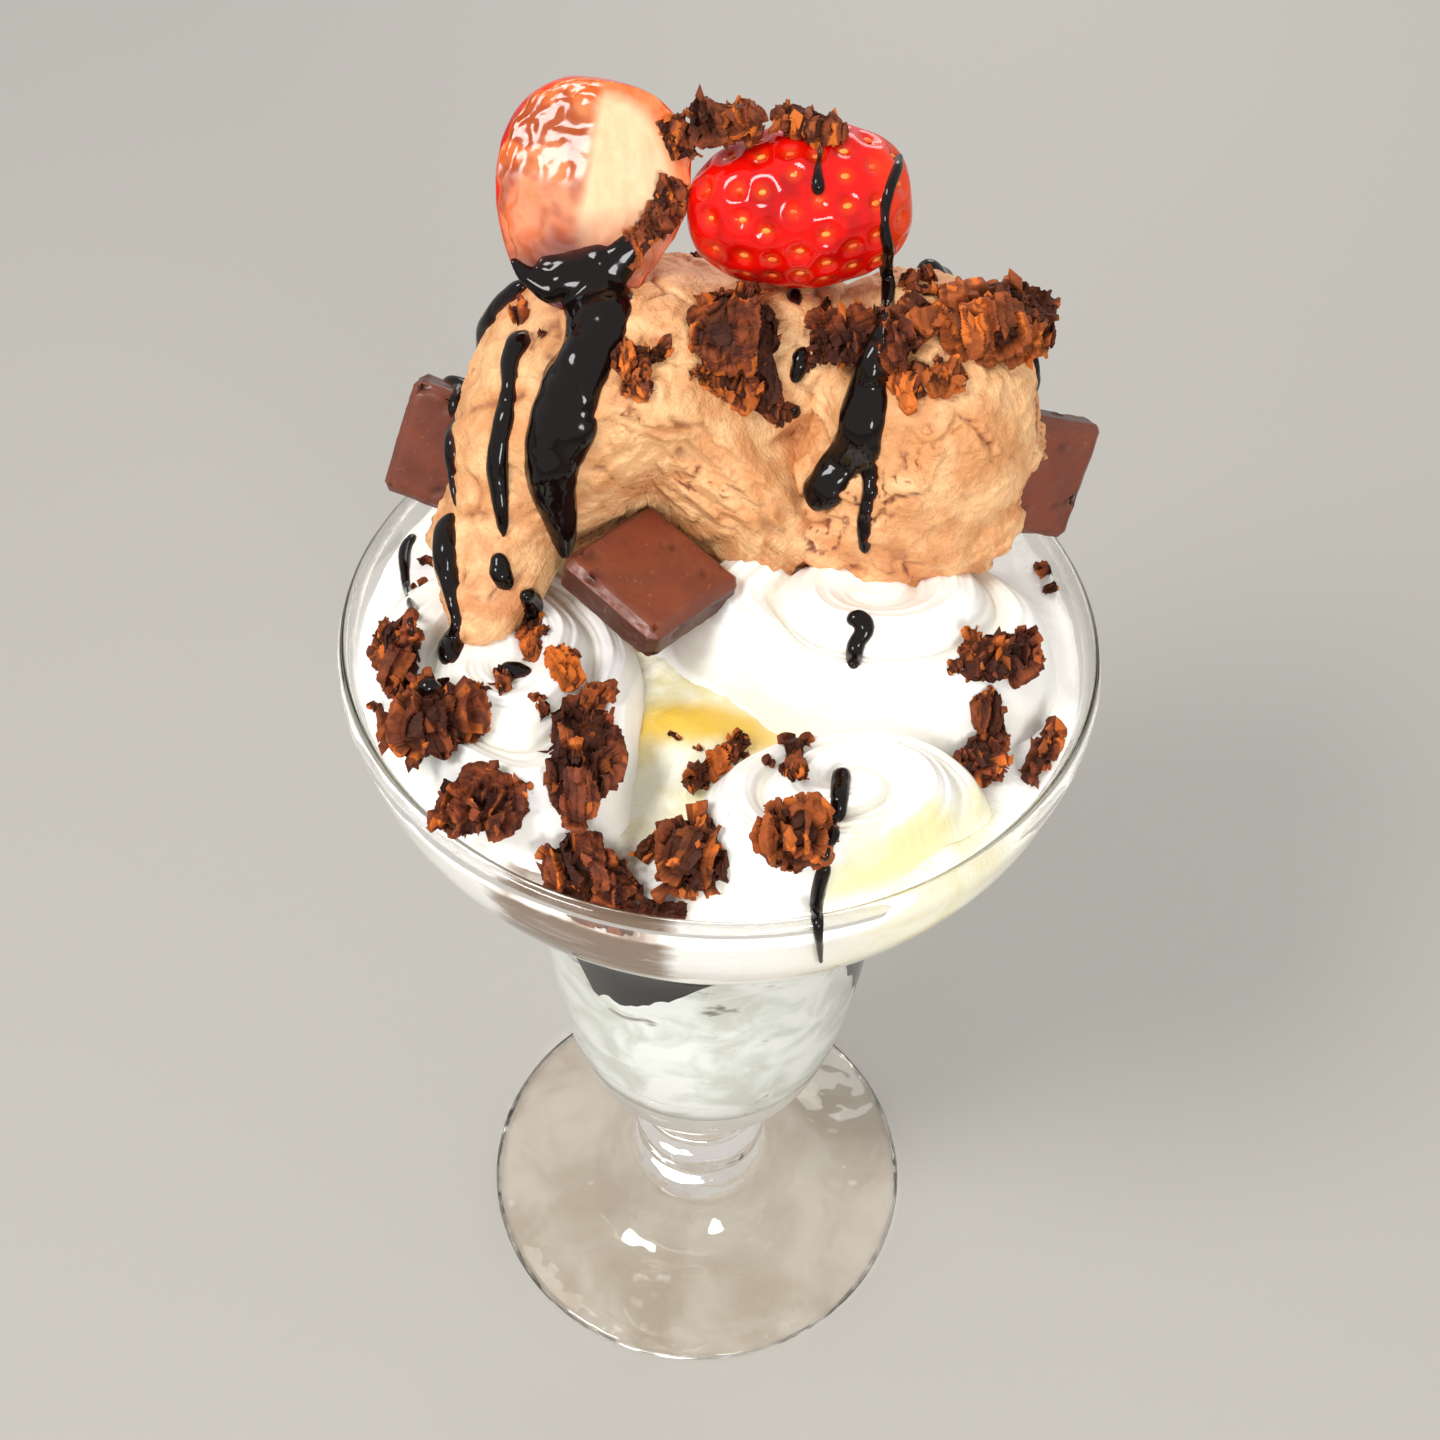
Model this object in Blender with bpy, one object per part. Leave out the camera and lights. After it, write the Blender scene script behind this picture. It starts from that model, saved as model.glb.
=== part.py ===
"""An ice cream sundae in its footed glass, in metres, +Z up, standing on z = 0 at the glass's axis.

The glass is turned. Cream, sauce and vanilla ice cream fill it in layers, each a solid that fits
the glass's inside. Piped cream swirls ring two chocolate scoops, and strawberries, chocolate
squares and broken brownie lie on top. Thick sauce runs are fused to what they lie on.
"""

import math

import bmesh
import bpy
import numpy as np
from mathutils import Euler, Matrix, Vector, noise

MM = 0.001
TAU = 2 * math.pi

# Driving dimensions of the glass
GLASS_HEIGHT = 170 * MM
RIM_RADIUS = 57 * MM
FOOT_RADIUS = 43 * MM
LIP_WALL = 2.3 * MM
CUP_WALL = 2.9 * MM
CUP_FLOOR = 58 * MM
FLOOR_ROUNDING = 10 * MM
DISH_RADIUS = 31 * MM
DISH_DEPTH = 1.8 * MM
GLASS_SEGMENTS = 32

# Touching pieces keep this gap, and a cutter is its piece grown by it, with a little to spare
GAP = 0.3 * MM
GROW = 0.42 * MM

# Up the outside of the glass, (radius, height) in millimetres: foot edge, knob, cup, bowl, lip
OUTSIDE_KEYS = (
    (FOOT_RADIUS / MM, 2.0),
    (41.5, 3.9),
    (26.0, 5.8),
    (16.6, 12.0),
    (13.0, 20.0),
    (13.3, 28.0),
    (11.9, 36.0),
    (15.2, 45.0),
    (22.4, 55.5),
    (26.0, 68.0),
    (28.4, 86.0),
    (30.2, 106.0),
    (33.2, 123.0),
    (40.2, 135.0),
    (48.5, 145.0),
    (54.2, 155.5),
    (56.6, 164.5),
)
INSIDE_HEIGHTS = (168, 158, 150, 141, 133, 123, 112, 85, 68, 63, 60)

# The glass is three stacked bodies, parted at its narrowest place and where the bowl flares out
FOOT_TOP = 36 * MM
BOWL_BASE = 123 * MM

# Levels inside the glass
LOWER_EDGE = 64 * MM
SAUCE_LEVEL = 117 * MM
SAUCE_DEPTH = 9 * MM
BED_LEVEL = 165 * MM

# Where the sauce's lower face runs down the glass, or stays above it: how far in millimetres, and
# the direction and width in degrees
SAUCE_DROPS = ((12, 238, 22), (16, 330, 24), (9, 120, 30), (-7, 284, 16))
SAUCE_WAVE = 1.5 * MM

# Where the vanilla rises above its level, (x, y, height, width) in millimetres: under the scoops,
# in the gap between the front swirls, and by the rim at the front right
BED_RISES = (
    (4, 15, 12, 30),
    (-3, -25, 6, 10),
    (31, -42, 3.5, 9),
)

# Chocolate ice cream: lumps as (centre, radii) in millimetres, melted into each other
MELT = 5.5 * MM
RIGHT_SCOOP = (
    ((26, 18, 196), (19, 20, 21)),
    ((26, 9, 185), (16, 12, 10)),
)
LEFT_SCOOP = (
    ((-14, 17, 195), (24, 23, 23)),
    ((-32, 7, 192), (8, 10, 12)),
    ((-34, -3, 183), (7.5, 9, 8)),
    ((-33, -10, 179), (5, 6, 5)),
    ((-8, 1, 186), (17, 10, 9)),
    ((8, 21, 205), (13, 13, 11)),
)

# Thick sauce runs down the scoops: azimuth, elevation in degrees and width in millimetres
SAUCE_HEIGHT = 1.3 * MM
LEFT_RUNS = (
    ((-150, 74, 9), (-127, 59, 8), (-119, 43, 6), (-119, 26, 6.5), (-116, 8, 7), (-113, -10, 4)),
    ((-157, 50, 4.5), (-147, 36, 4), (-141, 22, 3.5), (-143, 4, 3.2), (-144, -14, 2.6)),
    ((172, 56, 3.5), (176, 36, 4), (182, 14, 3.6), (188, -8, 3)),
)
RIGHT_RUNS = (
    ((-165, 74, 3.4), (-127, 57, 4.6), (-124, 40, 6), (-126, 20, 6.6), (-132, 0, 5.4)),
    ((-113, 28, 3.6), (-110, 12, 3.4), (-107, -6, 3)),
)

# Piped cream: name, centre, radii, top height in millimetres, turn in degrees, spiral turns, hand
SWIRLS = (
    ("right", (20, -4), (35, 22), 182, -4, 2.6, 1),
    ("front", (17, -37), (25, 16), 178, 18, 2.3, -1),
    ("left", (-31, -18), (25, 33), 178, 12, 2.8, 1),
    ("back_left", (-27, 35), (26, 20), 181, 25, 2.4, -1),
    ("back_right", (21, 39), (26, 17), 180, -20, 2.4, 1),
)

# Thick sauce runs on the swirls: (x, y, width) in millimetres
CREAM_RUNS = {
    "right": ((18.5, -9.5, 3), (20, -13, 3.4), (19, -19.5, 2.4)),
    "front": ((17.7, -34, 3.2), (17.2, -40, 2.8), (16.4, -46, 2.4), (15.8, -49, 2)),
    "left": ((-43, 4, 2.6), (-43.5, -5, 3.4), (-41, -12, 3.6), (-39, -17.5, 4.6)),
}
CREAM_BASE = 158 * MM
SWIRL_RIDGE = 1.5 * MM
CREAM_CLEARANCE = 2.6 * MM

# Chocolate squares: name, centre in millimetres, tilt in degrees about X, Y and Z
SQUARE_SIDE = 18.5 * MM
SQUARE_THICKNESS = 6 * MM
SQUARE_BEVEL = 1.1 * MM
SQUARES = (
    ("front", (-10.5, -6, 183.2), (10, 4, 50)),
    ("left", (-41, 21, 182.5), (66, 14, -12)),
    ("right", (45.5, 22.5, 182.6), (70, 20, 16)),
)

# The front square was pushed into the scoop along this lane, which stays open
LANE = Vector((0.0, -0.66, 0.75)) * 17 * MM

# Strawberries: length, how far from its axis the half is cut, how much thicker the leaf end is
# than the tip, how blunt both ends are, and how each lies (place in millimetres, tilt in degrees
# about X, Y and Z, widest radius in millimetres, flatness)
BERRY_LENGTH = 30.5 * MM
BERRY_FACE = 1 * MM
BERRY_TAPER = 0.78
BERRY_BLUNTNESS = 0.45
HALF_BERRY = ((-20, 19.5, 229), (-22, 14, 8), 13.1, 1.0)
WHOLE_BERRY = ((8, 23, 226.8), (0, 84, 6), 11.5, 0.95)

# How far a broken piece's middle lies above what carries it, as a share of its height, how rough
# it is, how square, and how far it leans in radians
CRUMB_LIFT = 0.2
CRUMB_ROUGHNESS = 0.34
CRUMB_SQUARENESS = 0.45
CRUMB_LEAN = 0.25

# Broken brownie: name, plan place, size in millimetres, turn in degrees, seed
BROWNIE = (
    ("left_rim", (-44.5, -19), (7, 12, 9), 10, 1),
    ("left_upper", (-38.5, -30), (13, 12, 10), 35, 2),
    ("left_lower", (-31, -41), (13, 12, 8), -30, 3),
    ("left_inner", (-18.5, -35), (11, 18, 9), 8, 4),
    ("front_rim", (-15.5, -46.5), (15, 9, 9), -20, 5),
    ("front_middle", (-2, -45.5), (12, 11, 13), 8, 6),
    ("front_right", (11, -47), (11, 9, 10), 20, 7),
    ("right_upper", (39.5, -14), (13, 9, 8), 15, 8),
    ("right_lower", (37.5, -23.3), (8, 9, 9), -15, 9),
    ("right_rim", (47.5, -21.5), (6, 11, 7), -20, 10),
    ("scoop_left", (0, 10), (14, 12, 12), 30, 11),
    ("scoop_middle", (17, 10.5), (17, 10, 9), -20, 12),
    ("scoop_right", (36.5, 15), (17, 13, 12), 12, 13),
)

# The same for the pieces on the strawberries, whose places include the height
CROWN = (
    ("crown_left", (-3.2, 23, 239.6), (11, 7, 6), 10, 14),
    ("crown_right", (8.6, 23, 239.2), (10, 6, 5), -8, 15),
)


def add_piece(name, mesh, finish):
    """Links an object with this mesh and material into the scene."""
    item = bpy.data.objects.new(name, mesh)
    bpy.context.scene.collection.objects.link(item)
    mesh.materials.clear()
    mesh.materials.append(finish)
    mesh.shade_smooth()
    mesh.set_sharp_from_angle(angle=math.radians(40))
    return item


def add_cutter(mesh):
    """Links a helper object that only cuts or joins."""
    item = bpy.data.objects.new("cutter", mesh)
    bpy.context.scene.collection.objects.link(item)
    return item


def material(name, colour, roughness, alpha=1.0):
    """A Principled BSDF with one colour."""
    made = bpy.data.materials.new(name)
    made.use_nodes = True
    shader = made.node_tree.nodes["Principled BSDF"]
    shader.inputs["Base Color"].default_value = (*colour, 1)
    shader.inputs["Roughness"].default_value = roughness
    shader.inputs["Metallic"].default_value = 0.0
    shader.inputs["Alpha"].default_value = alpha
    return made


def mesh_from(points, faces):
    """A mesh of these points and faces, with its faces turned outwards."""
    shape = bmesh.new()
    corners = [shape.verts.new(tuple(map(float, p))) for p in points]
    for face in faces:
        shape.faces.new([corners[i] for i in face])
    return finished(shape)


def finished(shape):
    """Turns the faces of a bmesh outwards and gives its mesh.

    Every face is split into triangles the same way, so that a piece and its grown cutter match.
    """
    bmesh.ops.triangulate(shape, faces=shape.faces, quad_method="FIXED", ngon_method="EAR_CLIP")
    bmesh.ops.recalc_face_normals(shape, faces=shape.faces)
    if shape.calc_volume(signed=True) < 0:
        bmesh.ops.reverse_faces(shape, faces=shape.faces)
    mesh = bpy.data.meshes.new("shape")
    shape.to_mesh(mesh)
    shape.free()
    return mesh


def combine(host, others, operation):
    """Joins the others to the host, or cuts them from it, with one Boolean on a collection."""
    group = bpy.data.collections.new("helpers")
    bpy.context.scene.collection.children.link(group)
    for other in others:
        group.objects.link(other)
    boolean = host.modifiers.new("combine", "BOOLEAN")
    boolean.operation = operation
    boolean.operand_type = "COLLECTION"
    boolean.collection = group
    boolean.solver = "EXACT"
    graph = bpy.context.evaluated_depsgraph_get()
    made = bpy.data.meshes.new_from_object(host.evaluated_get(graph))
    host.modifiers.clear()
    finish = host.data.materials[0]
    host.data = made
    made.materials.clear()
    made.materials.append(finish)
    for other in others:
        bpy.data.objects.remove(other)
    bpy.data.collections.remove(group)


def cut(host, meshes):
    """Cuts these meshes from the host and drops any loose scrap."""
    combine(host, [add_cutter(mesh) for mesh in meshes], "DIFFERENCE")
    keep_largest(host)


def keep_largest(item):
    """Keeps only the body with the most faces of an object that a cut has parted."""
    shape = bmesh.new()
    shape.from_mesh(item.data)
    left = set(shape.faces)
    bodies = []
    while left:
        body = set()
        edge = [left.pop()]
        while edge:
            face = edge.pop()
            body.add(face)
            for side in face.edges:
                for other in side.link_faces:
                    if other in left:
                        left.discard(other)
                        edge.append(other)
        bodies.append(body)
    bodies.sort(key=len, reverse=True)
    scraps = [face for body in bodies[1:] for face in body]
    bmesh.ops.delete(shape, geom=scraps, context="FACES")
    shape.to_mesh(item.data)
    shape.free()


def looped_rings(rings):
    """Points and faces of a closed skin over rings of equal count, the last joined to the first."""
    count = len(rings[0])
    points = [point for ring in rings for point in ring]
    faces = []
    for i in range(len(rings)):
        low, high = i * count, (i + 1) % len(rings) * count
        for j in range(count):
            k = (j + 1) % count
            faces.append((low + j, low + k, high + k, high + j))
    return points, faces


def capped_rings(rings, start, end, swap_from=None):
    """Points and faces of a closed skin over rings of equal count, closed by a point at each end.

    From ring swap_from on, a quad starts at its next corner, so that it splits the other way: two
    skins that run inwards and outwards over the same points then have the same triangles.
    """
    count = len(rings[0])
    points = [start]
    for ring in rings:
        points += list(ring)
    points.append(end)
    last = len(points) - 1
    faces = []
    for j in range(count):
        k = (j + 1) % count
        faces.append((0, 1 + k, 1 + j))
        for i in range(len(rings) - 1):
            low, high = 1 + i * count, 1 + (i + 1) * count
            quad = [low + j, low + k, high + k, high + j]
            if swap_from is not None and i >= swap_from:
                quad = quad[1:] + quad[:1]
            faces.append(quad)
        top = 1 + (len(rings) - 1) * count
        faces.append((top + j, top + k, last))
    return points, faces


def circle(radius, z, segments):
    """A ring of points about the Z axis."""
    angles = TAU * np.arange(segments) / segments
    return [(radius * math.cos(a), radius * math.sin(a), z) for a in angles]


OUTSIDE = np.array(OUTSIDE_KEYS) * MM


def outer_radius(z):
    """The glass's outer radius at height z, from the stem's narrowest place up."""
    above = OUTSIDE[OUTSIDE[:, 1] >= FOOT_TOP]
    return np.interp(z, above[:, 1], above[:, 0])


def cavity_radius(z):
    """The glass's inner radius at height z: the wall thins towards the lip, and the floor is round."""
    z = np.asarray(z, float)
    lip = np.clip((z - 120 * MM) / (GLASS_HEIGHT - 120 * MM), 0, 1)
    wall = CUP_WALL + (LIP_WALL - CUP_WALL) * lip
    below = np.clip((CUP_FLOOR + FLOOR_ROUNDING - z) / FLOOR_ROUNDING, 0, 1)
    return (outer_radius(z) - wall) * np.sqrt(1 - below**2)


def inner_wall(z):
    """The inside as the glass's own facets have it, between the heights of its rings."""
    heights = np.array(sorted(INSIDE_HEIGHTS)) * MM
    return float(np.interp(z, heights, cavity_radius(heights)))


def cup_floor(radius):
    """The height of the cup's round floor at a distance from the axis."""
    heights = np.array(sorted(INSIDE_HEIGHTS)) * MM
    radii = np.concatenate([[0], cavity_radius(heights)])
    return float(np.interp(radius, radii, np.concatenate([[CUP_FLOOR], heights])))


def lower_bottom(angle, share):
    """The underside of the cream in the cup, just clear of the round floor."""
    edge = inner_wall(LOWER_EDGE) - GAP
    return LOWER_EDGE if share == 1 else cup_floor(edge * share) + 1.3 * GAP


def build_glass(finish):
    """The footed glass: dished foot and stem, cup, and flared bowl, three turned bodies."""
    underside = [(DISH_RADIUS * 0.6, DISH_DEPTH * 0.8), (DISH_RADIUS, 0), (FOOT_RADIUS - 2 * MM, 0)]
    lip = [
        (RIM_RADIUS, GLASS_HEIGHT - 2 * MM),
        (RIM_RADIUS - 0.4 * LIP_WALL, GLASS_HEIGHT),
        (RIM_RADIUS - 0.9 * LIP_WALL, GLASS_HEIGHT - 0.5 * MM),
    ]
    outside = [tuple(point) for point in OUTSIDE]
    inside = [(inner_wall(z * MM), z * MM) for z in INSIDE_HEIGHTS]
    low, high = BOWL_BASE - GAP / 2, BOWL_BASE + GAP / 2

    foot = underside + [(r, z) for r, z in outside if z <= FOOT_TOP]
    cup = [(outer_radius(FOOT_TOP), FOOT_TOP + GAP)]
    cup += [(r, z) for r, z in outside if FOOT_TOP < z < low]
    cup += [(outer_radius(low), low), (inner_wall(low), low)]
    cup += [(r, z) for r, z in inside if z < low]
    bowl = [(inner_wall(high), high), (outer_radius(high), high)]
    bowl += [(r, z) for r, z in outside if z > high]
    bowl += lip + [(r, z) for r, z in inside if z > high]

    foot_skin = capped_rings(turned(foot), (0, 0, DISH_DEPTH), (0, 0, FOOT_TOP))
    cup_skin = capped_rings(turned(cup), (0, 0, FOOT_TOP + GAP), (0, 0, CUP_FLOOR))
    add_piece("glass_foot", mesh_from(*foot_skin), finish)
    add_piece("glass_cup", mesh_from(*cup_skin), finish)
    add_piece("glass_bowl", mesh_from(*looped_rings(turned(bowl))), finish)


def turned(profile):
    """Rings about the Z axis at each (radius, height) of a profile."""
    return [circle(radius, z, GLASS_SEGMENTS) for radius, z in profile]


def layer_mesh(bottom, top, raise_bottom=0.0, raise_top=0.0, rings=4):
    """A filling between two uneven faces, out to the glass's inside less the gap.

    bottom and top give the height at a direction and a share of the radius, and each face may be
    raised or lowered as a whole. The wall has a ring at each of the glass's own, so that the facets
    of both run alongside.
    """
    angles = TAU * np.arange(GLASS_SEGMENTS) / GLASS_SEGMENTS
    lows = np.array([bottom(a, 1.0) for a in angles]) + raise_bottom
    highs = np.array([top(a, 1.0) for a in angles]) + raise_top
    between = [z * MM for z in sorted(INSIDE_HEIGHTS) if lows.min() < z * MM < highs.max()]

    def face_ring(level, share, lift):
        ring = []
        for a in angles:
            radius = (inner_wall(level(a, 1.0)) - GAP) * share
            ring.append((radius * math.cos(a), radius * math.sin(a), level(a, share) + lift))
        return ring

    def wall_ring(heights):
        radii = [inner_wall(z) - GAP for z in heights]
        return [(r * math.cos(a), r * math.sin(a), z) for r, a, z in zip(radii, angles, heights)]

    loops = [face_ring(bottom, i / rings, raise_bottom) for i in range(1, rings)]
    loops.append(wall_ring(lows))
    for i, z in enumerate(between):
        least = lows + (i + 1) * GAP
        most = highs - (len(between) - i) * GAP
        loops.append(wall_ring(np.clip(z, least, most)))
    loops.append(wall_ring(highs))
    top_edge = len(loops) - 1
    loops += [face_ring(top, i / rings, raise_top) for i in range(rings - 1, 0, -1)]
    low, high = bottom(0, 0) + raise_bottom, top(0, 0) + raise_top
    points, faces = capped_rings(loops, (0, 0, low), (0, 0, high), swap_from=top_edge)
    return mesh_from(points, faces)


def bump(angle, centre, width):
    """1 at the centre angle in degrees, falling smoothly to 0 a few widths away."""
    away = (angle - math.radians(centre) + math.pi) % TAU - math.pi
    return math.exp(-((away / math.radians(width)) ** 2))


def sauce_bottom(angle, share):
    """The lower face of the sauce, which runs down the glass in places."""
    drop = sum(depth * bump(angle, centre, width) for depth, centre, width in SAUCE_DROPS)
    wave = SAUCE_WAVE * math.sin(3 * angle + 1)
    return SAUCE_LEVEL - drop * MM * share**3 - wave * share


def sauce_top(angle, share):
    """The upper face of the sauce."""
    return SAUCE_LEVEL + SAUCE_DEPTH + SAUCE_WAVE * share * math.sin(2 * angle + 0.6)


def bed_height(x, y):
    """The top of the vanilla ice cream: level by the glass, with its rises."""
    height = BED_LEVEL
    for cx, cy, rise, width in BED_RISES:
        away = (x / MM - cx) ** 2 + (y / MM - cy) ** 2
        height += rise * MM * math.exp(-away / width**2)
    return height


def bed_top(angle, share):
    """The vanilla's top at a direction and a share of the radius."""
    radius = inner_wall(BED_LEVEL) * share
    return bed_height(radius * math.cos(angle), radius * math.sin(angle))


def lump_field(points, lumps):
    """Below 0 inside the melted lumps and above 0 outside, roughly in metres."""
    field = None
    for centre, radii in lumps:
        centre, radii = np.array(centre) * MM, np.array(radii) * MM
        away = (np.linalg.norm((points - centre) / radii, axis=-1) - 1) * radii.min()
        if field is None:
            field = away
        else:
            mix = np.clip(0.5 + 0.5 * (field - away) / MELT, 0, 1)
            field = field * (1 - mix) + away * mix - MELT * mix * (1 - mix)
    return field


def reach(origin, directions, lumps, furthest=60 * MM, samples=90):
    """How far along each direction the lumps' surface lies, the outermost where there are several."""
    steps = np.linspace(furthest, 0, samples)
    low = np.zeros(len(directions))
    high = np.full(len(directions), furthest)
    found = np.zeros(len(directions), bool)
    for outer, inner in zip(steps[:-1], steps[1:]):
        inside = lump_field(origin + directions * inner, lumps) < 0
        fresh = inside & ~found
        low[fresh], high[fresh] = inner, outer
        found |= inside
    for _ in range(20):
        middle = (low + high) / 2
        inside = lump_field(origin + directions * middle[:, None], lumps) < 0
        low = np.where(inside, middle, low)
        high = np.where(inside, high, middle)
    return (low + high) / 2


def lump_mesh(lumps, grow=0.0, segments=24, rings=14):
    """The surface of melted lumps, seen from the first lump's centre, grown by a distance."""
    origin = np.array(lumps[0][0]) * MM
    polar = math.pi * np.arange(1, rings) / rings
    around = TAU * np.arange(segments) / segments
    grid_p, grid_a = np.meshgrid(polar, around, indexing="ij")
    sines = np.sin(grid_p)
    rays = np.stack([sines * np.cos(grid_a), sines * np.sin(grid_a), -np.cos(grid_p)], -1)
    rays = np.vstack([[0, 0, -1], rays.reshape(-1, 3), [0, 0, 1]])
    points = origin + rays * (reach(origin, rays, lumps) + grow)[:, None]
    loops = points[1:-1].reshape(rings - 1, segments, 3)
    return mesh_from(*capped_rings([list(loop) for loop in loops], points[0], points[-1]))


def tube_mesh(points, outwards, widths, height, sides=6):
    """A flattened tube along the points, lying with its height along the outward directions."""
    points, outwards = np.array(points), np.array(outwards)
    along = np.gradient(points, axis=0)
    loops = []
    for point, out, run, width in zip(points, outwards, along, widths):
        across = np.cross(run, out)
        across /= np.linalg.norm(across)
        up = np.cross(across, run)
        up /= np.linalg.norm(up)
        angles = TAU * np.arange(sides) / sides
        wide, high = across * width / 2, up * height
        loops.append([point + wide * math.cos(a) + high * math.sin(a) for a in angles])
    start = points[0] - along[0] / np.linalg.norm(along[0]) * widths[0] / 3
    end = points[-1] + along[-1] / np.linalg.norm(along[-1]) * widths[-1] / 3
    return mesh_from(*capped_rings(loops, start, end))


def smooth_keys(keys, count):
    """The keys resampled at this many places on a Catmull-Rom curve through them."""
    keys = np.array(keys, float)
    padded = np.vstack([2 * keys[0] - keys[1], keys, 2 * keys[-1] - keys[-2]])
    found = []
    for place in np.linspace(0, len(keys) - 1, count):
        i = min(int(place), len(keys) - 2)
        t = place - i
        before, start, end, after = padded[i : i + 4]
        bend = 2 * before - 5 * start + 4 * end - after
        twist = 3 * start - before - 3 * end + after
        found.append(0.5 * (2 * start + (end - before) * t + bend * t**2 + twist * t**3))
    return np.array(found)


def sauce_run(lumps, keys, grow=0.0, steps=9):
    """A thick sauce run down a scoop. A key is azimuth, elevation and width (degrees, degrees, mm)."""
    origin = np.array(lumps[0][0]) * MM
    keys = smooth_keys(keys, steps)
    azimuth, elevation = np.radians(keys[:, 0]), np.radians(keys[:, 1])
    level = np.cos(elevation)
    rays = np.stack([level * np.cos(azimuth), level * np.sin(azimuth), np.sin(elevation)], -1)
    points = origin + rays * reach(origin, rays, lumps)[:, None]
    return tube_mesh(points, rays, keys[:, 2] * MM + 2 * grow, SAUCE_HEIGHT + grow)


def build_scoops(finish):
    """Both scoops, with their sauce runs fused on and room cut for what lies on them."""
    for name, lumps, runs in (("left", LEFT_SCOOP, LEFT_RUNS), ("right", RIGHT_SCOOP, RIGHT_RUNS)):
        scoop = add_piece("chocolate_scoop_" + name, lump_mesh(lumps), finish)
        combine(scoop, [add_cutter(sauce_run(lumps, keys)) for keys in runs], "UNION")
        rivals = topping_cutters()
        if name == "left":
            rivals += [lump_mesh(RIGHT_SCOOP, GROW), lane_mesh(*SQUARES[0][1:])]
        cut(scoop, rivals)


def swirl_height(swirl, x, y, grow=0.0):
    """The top of a piped swirl at (x, y), or None outside it."""
    _, (cx, cy), (rx, ry), top, turn, turns, hand = swirl
    turn = math.radians(turn)
    dx, dy = x - cx * MM, y - cy * MM
    u = (dx * math.cos(turn) + dy * math.sin(turn)) / (rx * MM + grow)
    v = (dy * math.cos(turn) - dx * math.sin(turn)) / (ry * MM + grow)
    share = math.hypot(u, v)
    if share > 1.0001:
        return None
    angle = math.atan2(v, u)
    dome = (1 - min(share, 1) ** 3) ** 0.6
    ridge = SWIRL_RIDGE * math.cos(TAU * turns * share - hand * angle) * min(1, 3 * share)
    return CREAM_BASE + (top * MM - CREAM_BASE) * dome + ridge * (0.3 + 0.7 * dome) + grow


def swirl_place(swirl, share, angle, grow):
    """The plan place at a share of the swirl's radius and an angle about its centre."""
    _, (cx, cy), (rx, ry), _, turn, _, _ = swirl
    turn = math.radians(turn)
    u = (rx * MM + grow) * share * math.cos(angle)
    v = (ry * MM + grow) * share * math.sin(angle)
    x = cx * MM + u * math.cos(turn) - v * math.sin(turn)
    y = cy * MM + u * math.sin(turn) + v * math.cos(turn)
    return x, y


def swirl_edge(swirl, angle, grow):
    """The share of its radius to which a swirl runs before it comes too near the glass."""
    limit = inner_wall(BED_LEVEL) - CREAM_CLEARANCE + grow
    shares = np.linspace(1, 0, 101)
    for share in shares:
        if math.hypot(*swirl_place(swirl, share, angle, grow)) <= limit:
            return share
    return 0.0


def swirl_mesh(swirl, grow=0.0, segments=23, rings=9):
    """A piped swirl as a closed body down to the cream's base, kept clear of the glass."""
    _, (cx, cy), _, _, _, _, _ = swirl
    angles = TAU * np.arange(segments) / segments
    edges = [swirl_edge(swirl, a, grow) for a in angles]
    loops = []
    for i in range(rings, 0, -1):
        share = (i / rings) ** 0.85
        loop = []
        for a, edge in zip(angles, edges):
            x, y = swirl_place(swirl, share * edge, a, grow)
            loop.append((x, y, swirl_height(swirl, x, y, grow)))
        loops.append(loop)
    top = (cx * MM, cy * MM, swirl_height(swirl, cx * MM, cy * MM, grow))
    base = CREAM_BASE - 2 * MM - grow
    loops.insert(0, [(x, y, base) for x, y, _ in loops[0]])
    return mesh_from(*capped_rings(loops, (cx * MM, cy * MM, base), top))


def cream_run(swirl, keys, steps=6):
    """A thick sauce run lying on a swirl."""
    keys = smooth_keys(keys, steps) * MM
    points = [(x, y, swirl_height(swirl, x, y)) for x, y, _ in keys]
    return tube_mesh(points, [(0, 0, 1)] * steps, keys[:, 2], SAUCE_HEIGHT)


def build_cream(finish):
    """The five swirls, each cut by the vanilla below, by the earlier swirls and by the toppings."""
    for i, swirl in enumerate(SWIRLS):
        cream = add_piece("whipped_cream_" + swirl[0], swirl_mesh(swirl), finish)
        if swirl[0] in CREAM_RUNS:
            combine(cream, [add_cutter(cream_run(swirl, CREAM_RUNS[swirl[0]]))], "UNION")
        vanilla = layer_mesh(sauce_top, bed_top, raise_top=GAP)
        earlier = [swirl_mesh(other, GROW) for other in SWIRLS[:i]]
        cut(cream, [vanilla] + earlier + scoop_cutters() + topping_cutters())


def square_mesh(centre, tilt, grow=0.0):
    """A chocolate square with bevelled edges, placed and tilted, grown by a distance."""
    shape = bmesh.new()
    bmesh.ops.create_cube(shape, size=1)
    side = SQUARE_SIDE + 2 * grow
    bmesh.ops.scale(shape, vec=(side, side, SQUARE_THICKNESS + 2 * grow), verts=shape.verts)
    bmesh.ops.bevel(
        shape, geom=list(shape.edges), offset=SQUARE_BEVEL, segments=1, affect="EDGES", profile=0.5
    )
    place = Matrix.Translation(Vector(centre) * MM)
    turn = Euler([math.radians(a) for a in tilt]).to_matrix().to_4x4()
    bmesh.ops.transform(shape, matrix=place @ turn, verts=shape.verts)
    return finished(shape)


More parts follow.
